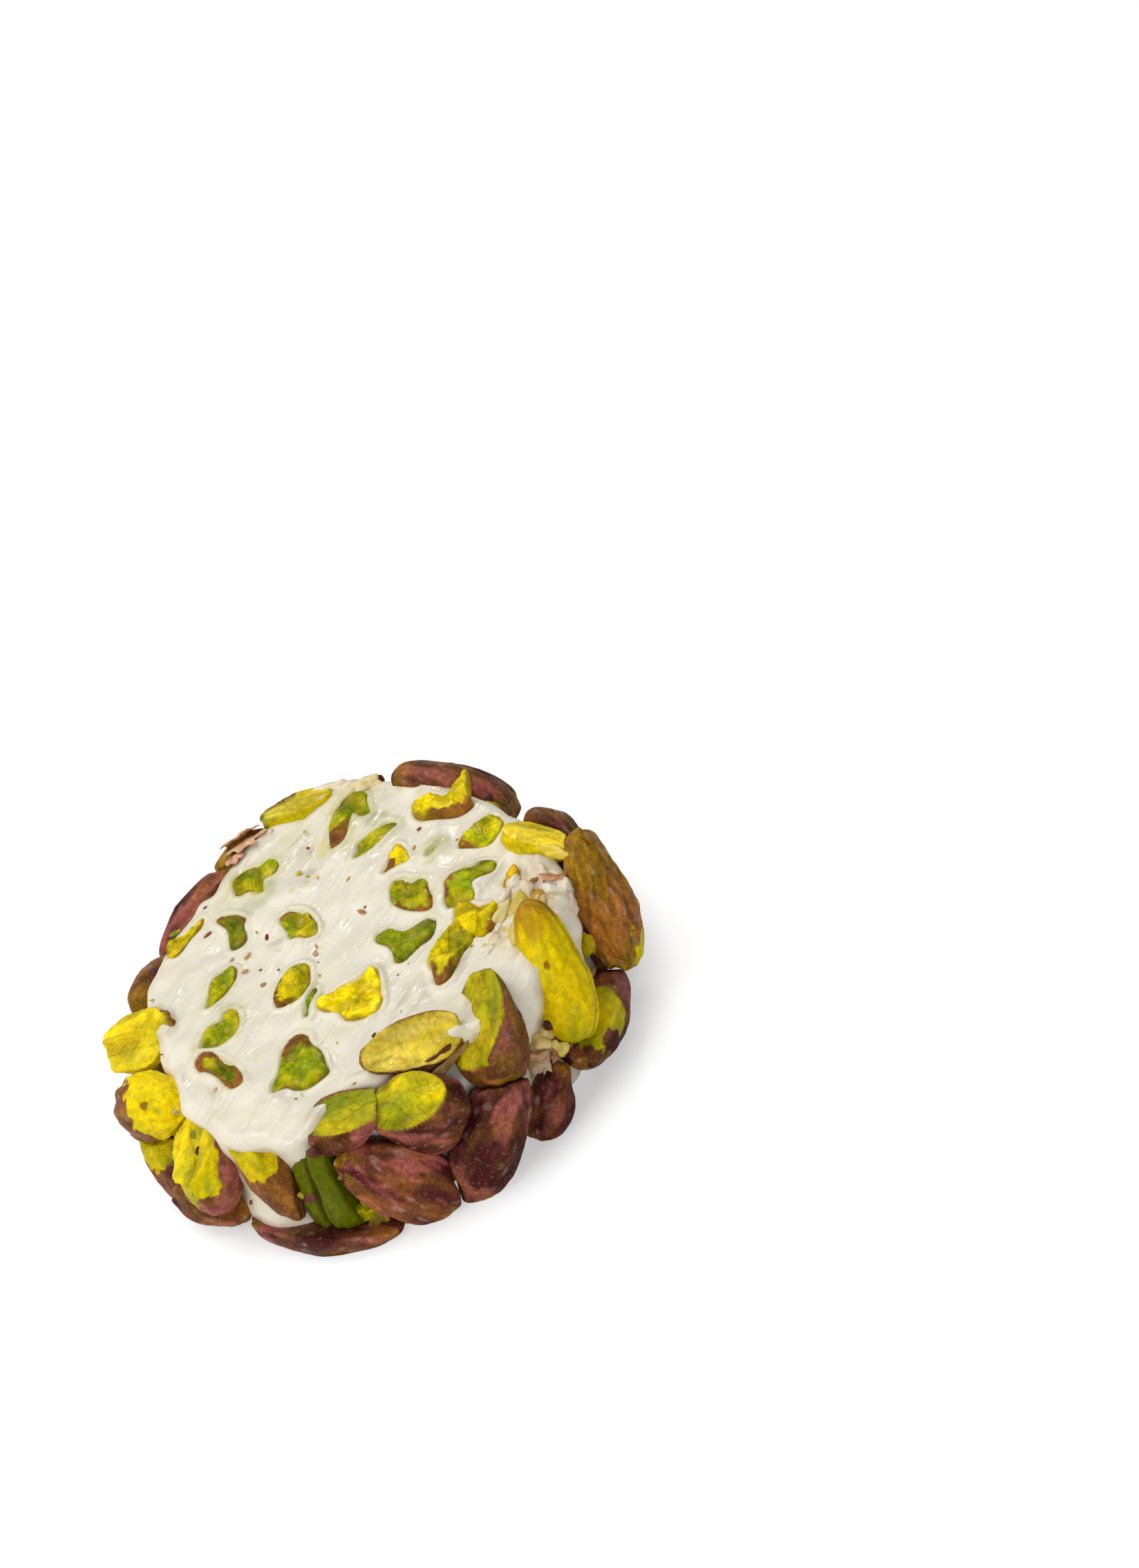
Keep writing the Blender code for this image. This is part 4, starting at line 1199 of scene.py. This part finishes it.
FLAKES = (
    Flake(276.5, 23.3, 14.6, 11.0, 2.2, 0.35, 277, -28, 4, (112, 74, 52)),
    Flake(279.0, 23.9, 14.0, 9.5, 2.0, 0.30, 280, -12, 8, (176, 140, 92)),
    Flake(272.0, 23.2, 14.1, 6.0, 1.6, 0.30, 272, -10, -6, (140, 98, 66)),
    Flake(304.0, 27.6, 8.4, 5.0, 3.0, 0.30, 300, 35, 30, (196, 170, 138)),
    Flake(309.5, 28.4, 7.4, 4.2, 2.6, 0.30, 315, 20, -30, (170, 122, 92)),
    Flake(97.0, 29.4, 16.4, 5.0, 3.8, 0.25, 97, 60, 10, (244, 200, 160)),
    Flake(93.5, 30.8, 16.6, 2.8, 2.2, 0.30, 95, 50, 50, (240, 186, 152)),
    Flake(101.0, 28.0, 16.3, 2.6, 2.0, 0.30, 100, 70, -30, (236, 178, 152)),
    Flake(98.0, 30.4, 16.9, 4.2, 2.8, 0.30, 96, 40, -20, (246, 206, 170)),
    Flake(220.0, 28.6, 3.4, 5.2, 2.4, 0.30, 222, 5, 75, (150, 110, 96)),
    Flake(250.5, 29.0, 2.6, 3.2, 2.4, 0.25, 250, 20, 10, (140, 120, 40)),
    Flake(351.0, 27.2, 16.0, 3.4, 1.8, 0.30, 10, 65, 70, (206, 150, 112)),
    Flake(349.0, 26.6, 15.9, 3.0, 1.6, 0.30, 350, 75, 20, (150, 100, 60)),
)


def build_flake(flake, seed):
    """A flake: a thin lens with a ragged outline, bent across its width by a parabola."""
    out = heading(flake.angle, 0)
    middle = LOG_AXIS + out * flake.radius + (0, 0, flake.height)
    normal = heading(flake.turn, flake.rise)
    side = unit(np.cross((0, 0, 1.0), normal))
    upward = np.cross(normal, side)
    spin = math.radians(flake.spin)
    long_axis = math.cos(spin) * side + math.sin(spin) * upward
    wide_axis = np.cross(normal, long_axis)
    turns = 40
    angle = np.linspace(0, 2 * math.pi, turns, endpoint=False)
    ring = np.stack([np.cos(angle), np.sin(angle), 0 * angle], axis=1)
    ragged = 1.0 + 0.22 * ripple(ring * 2.0, 1.6, seed, 10) + 0.10 * ripple(ring * 2.0, 0.5, seed + 1, 10)
    share = np.array([0.3, 0.6, 0.85, 0.97, 1.0, 0.97, 0.85, 0.6, 0.3])
    thick = np.array([1, 1, 1, 0.7, 0.0, -0.7, -1, -1, -1]) * 0.09
    x = share[:, None] * ragged * np.cos(angle) * flake.length / 2
    y = share[:, None] * ragged * np.sin(angle) * flake.width / 2
    bend = -flake.curl * (2 * y / flake.width) ** 2 * flake.width / 2 - 0.02 * x**2
    bend = bend + 0.12 * ripple(np.stack([x, y, 0 * x], -1).reshape(-1, 3), 1.6, seed + 2).reshape(x.shape)
    height = bend + thick[:, None]
    rings = middle + x[..., None] * long_axis + y[..., None] * wide_axis + height[..., None] * normal
    start = middle + normal * (thick[0] + bend[0].mean())
    end = middle + normal * (thick[-1] + bend[-1].mean())
    every = np.concatenate([start[None], rings.reshape(-1, 3), end[None]])
    paint = linear(*flake.shade) * (1.0 + 0.25 * ripple(every, 1.2, seed + 3))[:, None]
    return Shell(start, rings, end, paint=paint, bare=np.full(len(every), 0.5))


# ---------------------------------------------------------------- operators


class NOUGAT_OT_body(bpy.types.Operator):
    """Build the nougat itself"""

    bl_idname = "nougat.body"
    bl_label = "Nougat"

    def execute(self, context):
        material = nougat_material()
        make_piece("nougat_body", [build_nougat()], material, ["nougat"])
        make_piece("torn_nougat", build_torn(), material)
        return {"FINISHED"}


class NOUGAT_OT_kernels(bpy.types.Operator):
    """Build every kernel that is pressed into the rim"""

    bl_idname = "nougat.kernels"
    bl_label = "Rim kernels"

    def execute(self, context):
        material = kernel_material()
        for name, body in BODIES.items():
            make_piece(f"pistachio_{name}", [build_kernel(name, body)], material, [name])
        return {"FINISHED"}


class NOUGAT_OT_chips(bpy.types.Operator):
    """Build the chopped kernels in both cut faces"""

    bl_idname = "nougat.chips"
    bl_label = "Chips"

    def execute(self, context):
        material = chip_material()
        face = [build_chip(chip, 40 * index) for index, chip in enumerate(FACE_CHIPS)]
        make_piece("face_chips", face, material)
        back = [build_chip(chip, 3000 + 40 * index, True) for index, chip in enumerate(back_chips())]
        make_piece("back_chips", back, material)
        return {"FINISHED"}


class NOUGAT_OT_bits(bpy.types.Operator):
    """Build the specks, crumbs and papery flakes of skin"""

    bl_idname = "nougat.bits"
    bl_label = "Specks, crumbs and flakes"

    def execute(self, context):
        material = bpy.data.materials.get("chopped_kernel") or chip_material()
        make_piece("specks", build_specks(), material)
        make_piece("crumbs", build_crumbs(), material)
        make_piece("wall_chips", build_wall_chips(), material)
        flakes = [build_flake(flake, 900 + 10 * index) for index, flake in enumerate(FLAKES)]
        make_piece("skin_flakes", flakes, material)
        return {"FINISHED"}


# The camera: its rise and roll in degrees, its distance and lens in millimetres.
CAMERA_RISE = 39.0
CAMERA_ROLL = -28.0
CAMERA_DISTANCE = 500.0
CAMERA_LENS = 97.6
# The face's middle sits left of and below the view's middle, as shares of the camera's distance.
AIM_RIGHT = -0.0540
AIM_UP = -0.0420


def aim_camera():
    """Place the camera: at its rise from the face's middle, rolled, and turned so the slice sits low left."""
    target = LOG_AXIS + (0, 0, FACE_HEIGHT)
    back = heading(270.0, CAMERA_RISE)
    roll = math.radians(CAMERA_ROLL)
    level = np.array([1.0, 0.0, 0.0])
    right = math.cos(roll) * level + math.sin(roll) * np.cross(back, level)
    upward = np.cross(back, right)
    view = unit(back + right * AIM_RIGHT + upward * AIM_UP)
    right = unit(right - view * (right @ view))
    upward = np.cross(view, right)
    matrix = Matrix(np.stack([right, upward, view], axis=1).tolist()).to_4x4()
    matrix.translation = Vector((target + back * CAMERA_DISTANCE) * MM)
    data = bpy.data.cameras.new("camera")
    data.lens = CAMERA_LENS
    data.clip_start = 0.01
    camera = bpy.data.objects.new("camera", data)
    camera.matrix_world = matrix
    bpy.context.scene.collection.objects.link(camera)
    bpy.context.scene.camera = camera


# Lamps: name, turn and rise, distance and size in metres, power in watts.
LAMPS = (
    ("overhead_softbox", 128.0, 62.0, 0.9, 0.8, 4.3),
    ("small_window", 75.0, 42.0, 1.0, 0.16, 1.1),
    ("left_softbox", 205.0, 38.0, 0.9, 0.5, 2.4),
    ("front_fill", 272.0, 24.0, 1.1, 0.6, 2.9),
)
WORLD_STRENGTH = 0.26

# The table, in metres: half its side, and where its shadow thins out and where it is white all through.
TABLE_HALF = 3.0
SHADOW_EDGE = (0.030, 0.037)
WHITE_EDGE = (0.15, 0.6)


def build_lamps():
    """Round area lamps, each turned to the slice."""
    for name, turn, rise, distance, size, power in LAMPS:
        data = bpy.data.lights.new(name, "AREA")
        data.shape = "DISK"
        data.size = size
        data.energy = power
        lamp = bpy.data.objects.new(name, data)
        away = Vector(heading(turn, rise))
        lamp.location = away * distance
        lamp.rotation_euler = away.to_track_quat("Z", "Y").to_euler()
        bpy.context.scene.collection.objects.link(lamp)


def build_world():
    """A plain white sky that lights softly and shows as full white to the eye."""
    graph = Graph("studio", "worlds", "Background")
    seen = graph.add("ShaderNodeLightPath", output="Is Camera Ray")
    strength = graph.add("ShaderNodeMapRange", values={0: seen, 3: WORLD_STRENGTH, 4: 1.0})
    bpy.context.scene.world = graph.finish(Color=(1.0, 1.0, 1.0, 1.0), Strength=strength)


def build_floor():
    """A wide white table, which stays white to the eye and keeps part of the slice's shadow."""
    mesh = bpy.data.meshes.new("table")
    wide = TABLE_HALF
    corners = [(-wide, -wide, 0), (wide, -wide, 0), (wide, wide, 0), (-wide, wide, 0)]
    mesh.from_pydata(corners, [], [(0, 1, 2, 3)])
    floor = bpy.data.objects.new("table", mesh)
    bpy.context.scene.collection.objects.link(floor)
    graph = Graph("table_white")
    graph.finish(Base_Color=(0.86, 0.86, 0.86, 1.0), Roughness=0.7)
    glow = graph.add("ShaderNodeEmission", values={"Color": (1, 1, 1, 1), "Strength": 1.3})
    seen = graph.add("ShaderNodeLightPath", output="Is Camera Ray")
    place = graph.add("ShaderNodeSeparateXYZ", values={"Vector": graph.place()})
    across = Term(graph, place.socket.node.outputs[1])
    reach = (place * place + across * across).math("POWER", 0.5)
    near = graph.span(reach, *SHADOW_EDGE, 0.32, 0.6)
    far = graph.span(reach, *WHITE_EDGE, 0.0, 0.4)
    shaded = Term(graph, graph.shader.outputs[0])
    mix = graph.add("ShaderNodeMixShader", values={0: seen * (near + far), 1: shaded, 2: glow})
    graph.links.new(mix.socket, graph.nodes["Material Output"].inputs["Surface"])
    mesh.materials.append(graph.owner)


class NOUGAT_OT_stage(bpy.types.Operator):
    """Set up the table, the lamps, the sky and the camera"""

    bl_idname = "nougat.stage"
    bl_label = "Stage"

    def execute(self, context):
        build_floor()
        build_lamps()
        build_world()
        aim_camera()
        context.scene.view_settings.view_transform = "Standard"
        return {"FINISHED"}


class NOUGAT_PT_panel(bpy.types.Panel):
    """The slice's settings and operators, in the sidebar"""

    bl_label = "Pistachio nougat slice"
    bl_idname = "NOUGAT_PT_panel"
    bl_space_type = "VIEW_3D"
    bl_region_type = "UI"
    bl_category = "Nougat"

    def draw(self, context):
        values = context.scene.nougat_settings
        for name in values.__annotations__:
            self.layout.prop(values, name)
        for operator in OPERATORS:
            self.layout.operator(operator.bl_idname)


OPERATORS = (NOUGAT_OT_body, NOUGAT_OT_kernels, NOUGAT_OT_chips, NOUGAT_OT_bits, NOUGAT_OT_stage)
CLASSES = (NougatSettings, *OPERATORS, NOUGAT_PT_panel)


def register():
    """Register the classes and the settings with Blender."""
    for item in CLASSES:
        bpy.utils.register_class(item)
    bpy.types.Scene.nougat_settings = PointerProperty(type=NougatSettings)


def unregister():
    """Take the settings and the classes out again."""
    del bpy.types.Scene.nougat_settings
    for item in reversed(CLASSES):
        bpy.utils.unregister_class(item)


def main():
    """Build every group in order, then the stage."""
    register()
    bpy.ops.nougat.body()
    bpy.ops.nougat.kernels()
    bpy.ops.nougat.chips()
    bpy.ops.nougat.bits()
    bpy.ops.nougat.stage()


if __name__ == "__main__":
    main()
